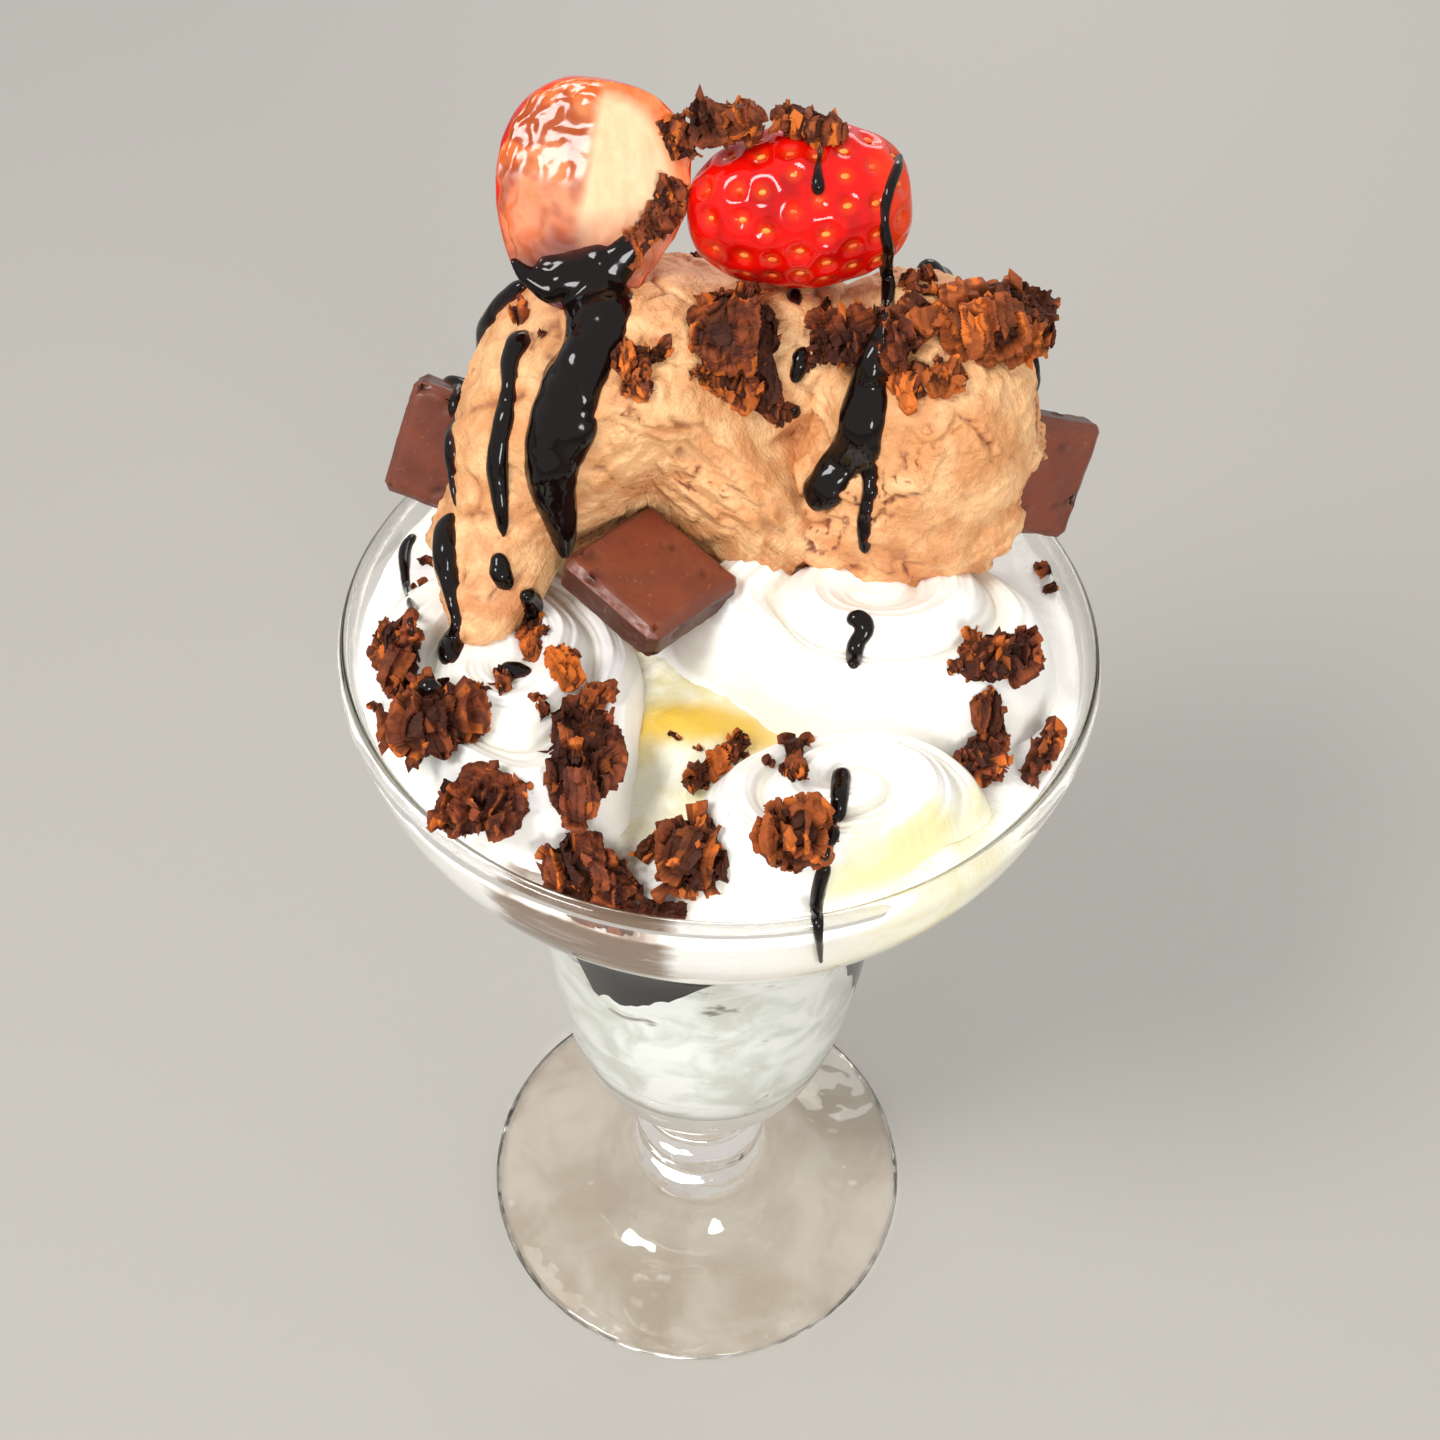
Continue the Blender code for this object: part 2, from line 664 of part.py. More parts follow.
def lane_mesh(centre, tilt):
    """The space that a square swept as it was pushed in, grown by the gap."""
    corners = [vert.co.copy() for vert in square_mesh(centre, tilt, GROW).vertices]
    shape = bmesh.new()
    for corner in corners + [corner + LANE for corner in corners]:
        shape.verts.new(corner)
    bmesh.ops.convex_hull(shape, input=shape.verts)
    bmesh.ops.delete(shape, geom=[v for v in shape.verts if not v.link_faces], context="VERTS")
    return finished(shape)


def berry_radius(t):
    """A strawberry's radius as a share of its widest, at a share t from the leaf end to the tip."""
    return math.sin(math.pi * min(max(t, 0), 1) ** BERRY_TAPER) ** BERRY_BLUNTNESS


def berry_mesh(berry, half=False, grow=0.0, segments=18, rings=9):
    """A strawberry along its own Z from tip to leaf end. A half is cut flat a little before its axis."""
    centre, tilt, radius, flatten = berry
    place = Matrix.Translation(Vector(centre) * MM)
    place @= Euler([math.radians(a) for a in tilt]).to_matrix().to_4x4()
    face = -BERRY_FACE - grow if half else -TAU
    loops = []
    for i in range(1, rings):
        t = (1 - math.cos(math.pi * i / rings)) / 2
        z = (t - 0.5) * (BERRY_LENGTH + 2 * grow)
        ring = circle(radius * MM * berry_radius(1 - t) + grow, z, segments)
        loops.append([(x, max(y * flatten, face), z) for x, y, z in ring])
    end = 0.5 * BERRY_LENGTH + grow
    shape = bmesh.new()
    shape.from_mesh(mesh_from(*capped_rings(loops, (0, 0, -end), (0, 0, end))))
    bmesh.ops.transform(shape, matrix=place, verts=shape.verts)
    return finished(shape)


def berries(grow=0.0):
    """The meshes of both strawberries: the half leans back, and the whole one lies across."""
    return [berry_mesh(HALF_BERRY, half=True, grow=grow), berry_mesh(WHOLE_BERRY, grow=grow)]


def cream_top(x, y):
    """The height of the highest swirl or of the vanilla at (x, y)."""
    heights = [swirl_height(swirl, x, y) for swirl in SWIRLS]
    return max([bed_height(x, y)] + [z for z in heights if z is not None])


def scoop_top(x, y):
    """The height of the scoops at (x, y)."""
    heights = np.linspace(226, 180, 185) * MM
    column = np.array([(x, y, z) for z in heights])
    inside = (lump_field(column, LEFT_SCOOP) < 0) | (lump_field(column, RIGHT_SCOOP) < 0)
    return float(heights[np.argmax(inside)]) if inside.any() else 0.0


def crumb_mesh(crumb, grow=0.0):
    """A broken lump of brownie, rough all over, sunk a little into what carries it."""
    _, place, size, turn, seed = crumb
    place = Vector(place).to_3d() * MM
    size = Vector(size) * MM / 2
    if place.z == 0:
        carrier = max(cream_top(place.x, place.y), scoop_top(place.x, place.y))
        place.z = carrier + CRUMB_LIFT * 2 * size.z
    shape = bmesh.new()
    bmesh.ops.create_icosphere(shape, subdivisions=2, radius=1)
    for vert in shape.verts:
        rough = 1 + CRUMB_ROUGHNESS * noise.noise(vert.co * 1.7 + Vector((seed * 7.3, seed, -seed)))
        square = max(abs(vert.co.x), abs(vert.co.y), abs(vert.co.z)) ** -CRUMB_SQUARENESS
        co = vert.co * rough * square
        vert.co = Vector((co.x * size.x, co.y * size.y, co.z * size.z))
        vert.co += vert.co.normalized() * grow
    lean_x, lean_y = CRUMB_LEAN * math.sin(seed * 2.1), CRUMB_LEAN * math.cos(seed * 1.3)
    lean = Euler((lean_x, lean_y, math.radians(turn)))
    pose = Matrix.Translation(place) @ lean.to_matrix().to_4x4()
    bmesh.ops.transform(shape, matrix=pose, verts=shape.verts)
    for vert in shape.verts:
        limit = inner_wall(vert.co.z) - 2 * GAP + grow
        away = math.hypot(vert.co.x, vert.co.y)
        if vert.co.z < GLASS_HEIGHT + GAP and away > limit:
            vert.co.x *= limit / away
            vert.co.y *= limit / away
    return finished(shape)


def build_toppings(chocolate, strawberry, brownie):
    """The chocolate squares, the strawberries and the broken brownie."""
    for name, centre, tilt in SQUARES:
        add_piece("chocolate_square_" + name, square_mesh(centre, tilt), chocolate)
    for name, mesh in zip(("half", "whole"), berries()):
        cut(add_piece("strawberry_" + name, mesh, strawberry), crumb_cutters())
    for crumb in BROWNIE + CROWN:
        add_piece("brownie_" + crumb[0], crumb_mesh(crumb), brownie)


def crumb_cutters():
    """The broken brownie, grown by the gap."""
    return [crumb_mesh(crumb, GROW) for crumb in BROWNIE + CROWN]


def topping_cutters():
    """Everything that lies on the scoops and the cream, grown by the gap."""
    squares = [square_mesh(centre, tilt, GROW) for _, centre, tilt in SQUARES]
    return squares + berries(GROW) + crumb_cutters()


def scoop_cutters():
    """Both scoops with their sauce runs, grown by the gap."""
    meshes = []
    for lumps, runs in ((LEFT_SCOOP, LEFT_RUNS), (RIGHT_SCOOP, RIGHT_RUNS)):
        meshes.append(lump_mesh(lumps, GROW))
        meshes += [sauce_run(lumps, keys, GROW) for keys in runs]
    return meshes


def main():
    """Clears the scene and builds every piece."""
    for item in list(bpy.data.objects):
        bpy.data.objects.remove(item)
    glass = material("glass", (0.9, 0.9, 0.88), 0.03, alpha=0.35)
    cream = material("whipped_cream", (0.93, 0.9, 0.84), 0.5)
    vanilla = material("vanilla", (0.93, 0.83, 0.5), 0.5)
    sauce = material("chocolate_sauce", (0.02, 0.012, 0.01), 0.12)
    scoop = material("chocolate_ice_cream", (0.7, 0.36, 0.15), 0.6)
    chocolate = material("chocolate", (0.25, 0.06, 0.03), 0.35)
    brownie = material("brownie", (0.12, 0.03, 0.015), 0.85)
    strawberry = material("strawberry", (0.75, 0.02, 0.01), 0.2)

    build_glass(glass)
    lower = layer_mesh(lower_bottom, sauce_bottom, raise_top=-GAP)
    add_piece("lower_cream", lower, cream)
    add_piece("sauce_layer", layer_mesh(sauce_bottom, sauce_top), sauce)
    bed = add_piece("vanilla_ice_cream", layer_mesh(sauce_top, bed_top, raise_bottom=GAP), vanilla)
    cut(bed, scoop_cutters() + topping_cutters())
    build_cream(cream)
    build_scoops(scoop)
    build_toppings(chocolate, strawberry, brownie)


main()
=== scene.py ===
"""The looks of an ice cream sundae in its footed glass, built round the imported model.

Lengths are in metres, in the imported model's own frame: +Z up the glass's axis, standing on z = 0,
with the side that the photograph shows towards -Y.
"""

import sys
import logging
import math
import random
from dataclasses import dataclass, field
from enum import Enum
from typing import Callable, Iterable, Optional, Sequence

import bmesh
import bpy
import numpy as np
from mathutils import Matrix, Vector, noise
from mathutils.bvhtree import BVHTree


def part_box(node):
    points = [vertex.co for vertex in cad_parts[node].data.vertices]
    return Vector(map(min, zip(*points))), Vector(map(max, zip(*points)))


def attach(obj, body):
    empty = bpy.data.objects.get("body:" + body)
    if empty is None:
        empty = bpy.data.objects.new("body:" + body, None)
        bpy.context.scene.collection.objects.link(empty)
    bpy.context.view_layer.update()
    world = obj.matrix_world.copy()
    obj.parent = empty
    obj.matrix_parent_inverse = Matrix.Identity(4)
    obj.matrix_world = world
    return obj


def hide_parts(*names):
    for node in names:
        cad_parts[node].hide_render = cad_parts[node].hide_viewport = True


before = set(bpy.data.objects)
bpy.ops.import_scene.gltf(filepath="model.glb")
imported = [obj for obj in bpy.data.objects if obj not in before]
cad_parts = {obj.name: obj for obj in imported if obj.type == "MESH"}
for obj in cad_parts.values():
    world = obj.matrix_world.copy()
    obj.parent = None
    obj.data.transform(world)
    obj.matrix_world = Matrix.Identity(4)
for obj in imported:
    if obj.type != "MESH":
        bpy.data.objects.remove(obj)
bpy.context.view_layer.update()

MM = 0.001
TAU = math.tau
IMAGE_SIDE = 1440
CRISP_ANGLE = math.radians(38)

log = logging.getLogger("sundae")

Colour = tuple[float, float, float, float]
Points = np.ndarray


class Slot(Enum):
    """The material slots, which the log names for each piece."""

    GLASS = "glass"
    CREAM = "cream"
    VANILLA = "vanilla"
    SAUCE = "sauce"
    SCOOP = "chocolate_ice_cream"
    CHOCOLATE = "chocolate"
    STRAWBERRY = "strawberry"
    BROWNIE = "brownie"


class Winding(Enum):
    """Which way a piped swirl winds."""

    LEFT = -1
    RIGHT = 1


def paint(red: float, green: float, blue: float) -> Colour:
    """A colour as a shader takes it.

    Args:
        red: The red display value, 0 to 255.
        green: The green display value, 0 to 255.
        blue: The blue display value, 0 to 255.

    Returns:
        The linear colour with an alpha of 1.
    """
    parts = [value / 255 for value in (red, green, blue)]
    linear = [c / 12.92 if c <= 0.04045 else ((c + 0.055) / 1.055) ** 2.4 for c in parts]
    return (linear[0], linear[1], linear[2], 1.0)


def unit(vectors: Points) -> Points:
    """These vectors at length 1."""
    return vectors / np.maximum(np.linalg.norm(vectors, axis=-1, keepdims=True), 1e-12)


def fractal(points: Points, size: float, octaves: int = 3, seed: float = 0.0) -> Points:
    """Fractal noise at each point.

    Args:
        points: Where, in metres.
        size: How large the noise's lumps are, in metres.
        octaves: How many finer layers are added up.
        seed: Picks another part of the noise.

    Returns:
        One value for each point, about -1 to 1.
    """
    shift = np.array([1.7, -2.3, 0.9]) * seed
    places = (np.asarray(points) / size + shift).tolist()
    return np.array([noise.fractal(p, 1.0, 2.0, octaves) for p in places])


def blocks(points: Points, size: Points, seed: float = 0.0) -> Points:
    """A random value, 0 to 1, for each block of space.

    Args:
        points: Where, in metres.
        size: A block's size, one number or one for each axis, in metres.
        seed: Picks other values.

    Returns:
        One value for each point.
    """
    places = (np.asarray(points) / size + seed * 3.1).tolist()
    return np.array([noise.cell(p) for p in places])


def cracks(points: Points, size: float, width: float = 0.12, seed: float = 0.0) -> Points:
    """How near each point is to a crack between lumps.

    Args:
        points: Where, in metres.
        size: How large the lumps are, in metres.
        width: The crack's width as a share of a lump.
        seed: Picks other lumps.

    Returns:
        1 in a crack, falling to 0 beside it.
    """
    places = (np.asarray(points) / size + seed * 5.3).tolist()
    gaps = np.array([noise.voronoi(p)[0][:2] for p in places])
    return np.exp(-(((gaps[:, 1] - gaps[:, 0]) / width) ** 2))


def smooth_keys(keys: Sequence[Sequence[float]], count: int) -> Points:
    """Places on a Catmull-Rom curve through the keys.

    Args:
        keys: The rows of numbers that the curve passes through.
        count: How many places are wanted.

    Returns:
        One row for each place, evenly spaced between the first and the last key.
    """
    rows = np.array(keys, float)
    padded = np.vstack([2 * rows[0] - rows[1], rows, 2 * rows[-1] - rows[-2]])
    places = np.linspace(0, len(rows) - 1, count)
    index = np.minimum(places.astype(int), len(rows) - 2)
    t = (places - index)[:, None]
    before, start, end, after = (padded[index + i] for i in range(4))
    bend = 2 * before - 5 * start + 4 * end - after
    twist = 3 * start - before - 3 * end + after
    return 0.5 * (2 * start + (end - before) * t + bend * t**2 + twist * t**3)


@dataclass
class Skin:
    """A closed surface before it becomes a Blender mesh.

    values holds one number for each point under each name, for the finish to read.
    """

    points: Points
    faces: list[tuple[int, ...]]
    values: dict[str, Points] = field(default_factory=dict)

    def normals(self) -> Points:
        """The outward direction at each point, as the mean of the faces round it."""
        total = np.zeros_like(self.points)
        for size in (3, 4):
            index = np.array([f for f in self.faces if len(f) == size], int).reshape(-1, size)
            if len(index):
                corner = self.points[index]
                facing = np.cross(corner[:, 1] - corner[:, 0], corner[:, -1] - corner[:, 0])
                for k in range(size):
                    np.add.at(total, index[:, k], facing)
        return unit(total)

    def volume(self) -> float:
        """The volume inside the surface, below 0 if it is inside out."""
        total = 0.0
        for size in (3, 4):
            index = np.array([f for f in self.faces if len(f) == size], int).reshape(-1, size)
            for k in range(1, size - 1):
                a, b, c = (self.points[index[:, i]] for i in (0, k, k + 1))
                total += float(np.einsum("ij,ij->i", a, np.cross(b, c)).sum()) / 6
        return total

    def outward(self) -> "Skin":
        """The same skin with its faces turned outwards."""
        if self.volume() < 0:
            self.faces = [face[::-1] for face in self.faces]
        return self

    def moved(self, matrix: Matrix) -> "Skin":
        """The same skin, turned and placed by a matrix."""
        turn = np.array(matrix)
        self.points = self.points @ turn[:3, :3].T + turn[:3, 3]
        return self


def joined(skins: Iterable[Skin]) -> Skin:
    """One skin of several bodies.

    Args:
        skins: The bodies, which all have the same named values.

    Returns:
        A skin that holds them all.
    """
    points: list[Points] = []
    faces: list[tuple[int, ...]] = []
    values: dict[str, list[Points]] = {}
    start = 0
    for skin in skins:
        points.append(skin.points)
        faces += [tuple(i + start for i in face) for face in skin.faces]
        start += len(skin.points)
        for name, value in skin.values.items():
            values.setdefault(name, []).append(value)
    return Skin(np.vstack(points), faces, {name: np.concatenate(v) for name, v in values.items()})


def capped(rings: Points, start: Sequence[float], end: Sequence[float]) -> Skin:
    """A closed skin over rings of points.

    Args:
        rings: The rings, as an array of rings, points and coordinates.
        start: The point that closes the first ring.
        end: The point that closes the last ring.

    Returns:
        The skin, facing outwards. Its points are the start, the rings in order, and the end.
    """
    many, count = rings.shape[:2]
    points = np.vstack([[start], rings.reshape(-1, 3), [end]])
    last = len(points) - 1
    j = np.arange(count)
    k = (j + 1) % count
    low = 1 + count * np.arange(many - 1)[:, None]
    quads = np.stack([low + j, low + k, low + count + k, low + count + j], -1).reshape(-1, 4)
    top = 1 + (many - 1) * count
    faces = [tuple(face) for face in quads.tolist()]
    faces += [(0, int(1 + b), int(1 + a)) for a, b in zip(j, k)]
    faces += [(int(top + a), int(top + b), last) for a, b in zip(j, k)]
    return Skin(points, faces).outward()


def ball(detail: int) -> Skin:
    """A round ball of radius 1, of even triangles.

    Args:
        detail: How many times its faces are split.

    Returns:
        The ball's skin.
    """
    shape = bmesh.new()
    bmesh.ops.create_icosphere(shape, subdivisions=detail, radius=1)
    points = np.array([vert.co for vert in shape.verts])
    faces = [tuple(vert.index for vert in face.verts) for face in shape.faces]
    shape.free()
    return Skin(points, faces)


def node_skin(name: str, splits: int, smooth: float) -> Skin:
    """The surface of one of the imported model's nodes, split finer.

    Args:
        name: The node's name.
        splits: How many times each face is split in four.
        smooth: How far the new points round the surface off, 0 to 1.

    Returns:
        The node's skin.
    """
    shape = bmesh.new()
    shape.from_mesh(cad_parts[name].data)
    bmesh.ops.remove_doubles(shape, verts=shape.verts, dist=1e-6)
    for _ in range(splits):
        bmesh.ops.subdivide_edges(
            shape, edges=shape.edges, cuts=1, use_grid_fill=True, smooth=smooth
        )
    bmesh.ops.triangulate(shape, faces=shape.faces)
    shape.verts.index_update()
    points = np.array([vert.co for vert in shape.verts])
    faces = [tuple(vert.index for vert in face.verts) for face in shape.faces]
    shape.free()
    return Skin(points, faces)


def melted(skin: Skin, grain: float, rounds: int = 8) -> Skin:
    """The bodies of a skin joined into smooth ones where they overlap.

    Args:
        skin: The overlapping bodies.
        grain: How fine the joined surface is, in metres.
        rounds: How often it is smoothed.

    Returns:
        The joined skin.
    """
    mesh = bpy.data.meshes.new("raw")
    mesh.from_pydata(skin.points.tolist(), [], skin.faces)
    raw = bpy.data.objects.new("raw", mesh)
    bpy.context.scene.collection.objects.link(raw)
    remesh = raw.modifiers.new("joined", "REMESH")
    remesh.mode = "VOXEL"
    remesh.voxel_size = grain
    soft = raw.modifiers.new("soft", "SMOOTH")
    soft.factor = 0.5
    soft.iterations = rounds
    done = raw.evaluated_get(bpy.context.evaluated_depsgraph_get())
    made = done.to_mesh()
    points = np.array([vert.co for vert in made.vertices])
    faces = [tuple(face.vertices) for face in made.polygons]
    done.to_mesh_clear()
    bpy.data.objects.remove(raw)
    bpy.data.meshes.remove(mesh)
    return Skin(points, faces).outward()


def dress(
    name: str,
    skin: Skin,
    finish: "Finish",
    slot: Slot,
    nodes: Sequence[str] = (),
    crisp: bool = False,
) -> bpy.types.Object:
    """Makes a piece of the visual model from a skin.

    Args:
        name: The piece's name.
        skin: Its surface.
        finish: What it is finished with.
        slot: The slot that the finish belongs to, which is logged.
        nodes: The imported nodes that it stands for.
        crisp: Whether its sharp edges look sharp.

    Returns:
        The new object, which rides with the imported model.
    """
    mesh = bpy.data.meshes.new(name)
    mesh.from_pydata(skin.points.tolist(), [], skin.faces)
    for key, value in skin.values.items():
        layer = mesh.attributes.new(key, "FLOAT", "POINT")
        layer.data.foreach_set("value", np.asarray(value, np.float32))
    mesh.materials.append(finish.material())
    mesh.shade_smooth()
    if crisp:
        mesh.set_sharp_from_angle(angle=CRISP_ANGLE)
    piece = bpy.data.objects.new(name, mesh)
    bpy.context.scene.collection.objects.link(piece)
    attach(piece, "root")
    if nodes:
        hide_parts(*nodes)
    log.info("%s: %d points, %s", name, len(skin.points), slot.value)
    return piece


class Recipe:
    """The node tree of one material, laid out by short calls."""

    def __init__(self, name: str) -> None:
        """Starts a material with a Principled shader."""
        self.made = bpy.data.materials.new(name)
        self.made.use_nodes = True
        self.tree = self.made.node_tree
        self.shader = self.tree.nodes["Principled BSDF"]
        self.output = self.tree.nodes["Material Output"]
        self.place = self.tree.nodes.new("ShaderNodeTexCoord").outputs["Object"]

    def node(self, kind: str, **settings: object) -> bpy.types.Node:
        """A new node with these settings."""
        made = self.tree.nodes.new("ShaderNode" + kind)
        for key, value in settings.items():
            setattr(made, key, value)
        return made

    def feed(self, target: bpy.types.NodeSocket, value: object) -> None:
        """Links a socket to the target, or sets the target to a plain value."""
        if isinstance(value, bpy.types.NodeSocket):
            self.tree.links.new(value, target)
        else:
            target.default_value = value

    def set(self, **values: object) -> None:
        """Sets the shader's sockets, named in lower case with _ for each space."""
        names = {socket.name.lower().replace(" ", "_"): socket for socket in self.shader.inputs}
        for key, value in values.items():
            self.feed(names[key], value)

    def noise(
        self,
        size: float,
        detail: float = 4,
        rough: float = 0.55,
        stretch: Sequence[float] = (1, 1, 1),
        warp: float = 0.0,
    ) -> bpy.types.NodeSocket:
        """Noise over the surface.

        Args:
            size: How large its lumps are, in metres.
            detail: How many finer layers it has.
            rough: How strong the finer layers are.
            stretch: How many times longer the lumps are along each axis.
            warp: How far the lumps are bent.

        Returns:
            The noise's value, about 0 to 1.
        """
        scale = self.node("Mapping")
        scale.inputs["Scale"].default_value = [1 / (size * s) for s in stretch]
        self.tree.links.new(self.place, scale.inputs["Vector"])
        made = self.node("TexNoise")
        self.tree.links.new(scale.outputs["Vector"], made.inputs["Vector"])
        made.inputs["Scale"].default_value = 1.0
        made.inputs["Detail"].default_value = detail
        made.inputs["Roughness"].default_value = rough
        made.inputs["Distortion"].default_value = warp
        return made.outputs["Fac"]

    def value(self, name: str) -> bpy.types.NodeSocket:
        """A value that the mesh holds at each point."""
        return self.node("Attribute", attribute_name=name).outputs["Fac"]

    def spread(
        self, value: object, low: float, high: float, first: float = 0.0, last: float = 1.0
    ) -> bpy.types.NodeSocket:
        """A value moved from one range to another, smoothly, and held at its ends.

        Args:
            value: The socket or number to move.
            low: Where the first range starts.
            high: Where the first range ends.
            first: What low becomes.
            last: What high becomes.

        Returns:
            The moved value.
        """
        made = self.node("MapRange", interpolation_type="SMOOTHSTEP")
        for key, given in zip(("Value", "From Min", "From Max", "To Min", "To Max"),
                              (value, low, high, first, last)):
            self.feed(made.inputs[key], given)
        return made.outputs["Result"]

    def sum(self, first: object, second: object, how: str = "ADD") -> bpy.types.NodeSocket:
        """Two values added, or brought together in another way that Math has."""
        made = self.node("Math", operation=how)
        self.feed(made.inputs[0], first)
        self.feed(made.inputs[1], second)
        return made.outputs[0]

    def mix(self, share: object, first: object, second: object) -> bpy.types.NodeSocket:
        """The first colour where the share is 0, and the second where it is 1."""
        made = self.node("Mix", data_type="RGBA")
        self.feed(made.inputs["Factor"], share)
        self.feed(made.inputs[6], first)
        self.feed(made.inputs[7], second)
        return made.outputs[2]

    def bump(self, height: object, depth: float, below: object = None) -> bpy.types.NodeSocket:
        """Low relief.

        Args:
            height: The relief's height, 0 to 1.
            depth: How high 1 stands, in metres.
            below: The relief that this one lies on, if any.

        Returns:
            The bent normal.
        """
        made = self.node("Bump")
        made.inputs["Strength"].default_value = 1.0
        made.inputs["Distance"].default_value = depth
        self.feed(made.inputs["Height"], height)
        if below is not None:
            self.tree.links.new(below, made.inputs["Normal"])
        return made.outputs["Normal"]

    def axis(self, name: str) -> bpy.types.NodeSocket:
        """One coordinate of the place, X, Y or Z, in metres."""
        made = self.node("SeparateXYZ")
        self.tree.links.new(self.place, made.inputs[0])
        return made.outputs[name]


@dataclass(frozen=True)
class Finish:
    """A surface finish, made into a material once."""

    name: str

    def material(self) -> bpy.types.Material:
        """The finish's material, laid out at its first use."""
        known = bpy.data.materials.get(self.name)
        return known or self.mixed()

    def mixed(self) -> bpy.types.Material:
        """Lays the material out."""
        raise NotImplementedError


@dataclass(frozen=True)
class ClearGlass(Finish):
    """Clear pressed glass with soft waves from its mould and ripples in its foot, whose mottled
    brownish-grey tint is a painted reflection.
    """

    name: str = "clear_glass"
    tint: Colour = (0.99, 0.985, 0.975, 1.0)
    # painted reflection: brownish-grey tints for the foot, which the clear glass itself lacks
    foot_reflection_tint: Colour = (0.85, 0.81, 0.76, 1.0)
    foot_reflection_deep: Colour = (0.70, 0.64, 0.57, 1.0)
    shadow: Colour = (0.93, 0.92, 0.9, 1.0)
    index: float = 1.46
    wave: float = 0.25 * MM
    ripple: float = 0.55 * MM

    def mixed(self) -> bpy.types.Material:
        """Lays the material out."""
        recipe = Recipe(self.name)
        waves = recipe.noise(22 * MM, detail=1)
        high = recipe.spread(recipe.axis("Z"), 8 * MM, 50 * MM)
        # painted reflection: the foot is mottled between the two brownish-grey tints
        clouds = recipe.spread(recipe.noise(15 * MM, detail=3, warp=0.8), 0.36, 0.64)
        foot = recipe.mix(clouds, self.foot_reflection_deep, self.foot_reflection_tint)
        ripples = recipe.spread(high, 0, 1, 1, 0)
        uneven = recipe.sum(recipe.noise(11 * MM, detail=2), ripples, "MULTIPLY")
        recipe.set(
            base_color=recipe.mix(high, foot, self.tint),
            roughness=0.0,
            ior=self.index,
            transmission_weight=1.0,
            normal=recipe.bump(uneven, self.ripple, recipe.bump(waves, self.wave)),
        )
        passing = recipe.node("BsdfTransparent")
        passing.inputs["Color"].default_value = self.shadow
        either = recipe.node("MixShader")
        path = recipe.node("LightPath")
        recipe.tree.links.new(path.outputs["Is Shadow Ray"], either.inputs[0])
        recipe.tree.links.new(recipe.shader.outputs[0], either.inputs[1])
        recipe.tree.links.new(passing.outputs[0], either.inputs[2])
        recipe.tree.links.new(either.outputs[0], recipe.output.inputs["Surface"])
        return recipe.made


@dataclass(frozen=True)
class WhippedCream(Finish):
    """Soft satin cream, greyer in its folds as painted shade, and yellow where it is soaked."""

    name: str = "satin_cream"
    light: Colour = paint(252, 251, 246)
    cloud: Colour = paint(250, 247, 238)
    # painted shade deep in the piped folds
    fold: Colour = paint(236, 232, 218)
    melted: Colour = paint(244, 234, 178)

    def mixed(self) -> bpy.types.Material:
        """Lays the material out."""
        recipe = Recipe(self.name)
        clouds = recipe.spread(recipe.noise(14 * MM, detail=3), 0.35, 0.65)
        # painted shade: the deeper in a fold, the greyer
        depth = recipe.spread(recipe.value("hollow"), 0.35, 1.0)
        plain = recipe.mix(clouds, self.light, self.cloud)
        soaked = recipe.sum(recipe.value("soaked"), recipe.sum(clouds, 0.6, "MULTIPLY"))
        stained = recipe.mix(recipe.spread(soaked, 0.5, 1.3), plain, self.melted)
        colour = recipe.mix(depth, stained, self.fold)
        grain = recipe.noise(1.1 * MM, detail=3)
        recipe.set(
            base_color=colour,
            roughness=0.42,
            subsurface_weight=0.25,
            subsurface_radius=(1.0, 0.85, 0.6),
            subsurface_scale=2.2 * MM,
            normal=recipe.bump(grain, 0.06 * MM),
        )
        return recipe.made


@dataclass(frozen=True)
class CupCream(Finish):
    """Cream pressed against the cup, greyish, with sauce smeared through it."""

    name: str = "cream_in_cup"
    light: Colour = paint(240, 242, 238)
    grey: Colour = paint(208, 211, 200)
    smear: Colour = paint(88, 70, 56)

    def mixed(self) -> bpy.types.Material:
        """Lays the material out."""
        recipe = Recipe(self.name)
        clouds = recipe.spread(recipe.noise(11 * MM, detail=4, warp=0.6), 0.4, 0.62)
        streaks = recipe.noise(9 * MM, detail=3, rough=0.55, stretch=(1, 1, 0.7), warp=0.7)
        nearness = recipe.spread(recipe.axis("Z"), 84 * MM, 108 * MM, 0.0, 0.13)
        level = recipe.sum(streaks, nearness)
        dirt = recipe.spread(level, 0.7, 0.82, 0.0, 0.85)
        colour = recipe.mix(dirt, recipe.mix(clouds, self.light, self.grey), self.smear)
        recipe.set(
            base_color=colour,
            roughness=0.35,
            normal=recipe.bump(recipe.noise(3 * MM), 0.2 * MM),
        )
        return recipe.made


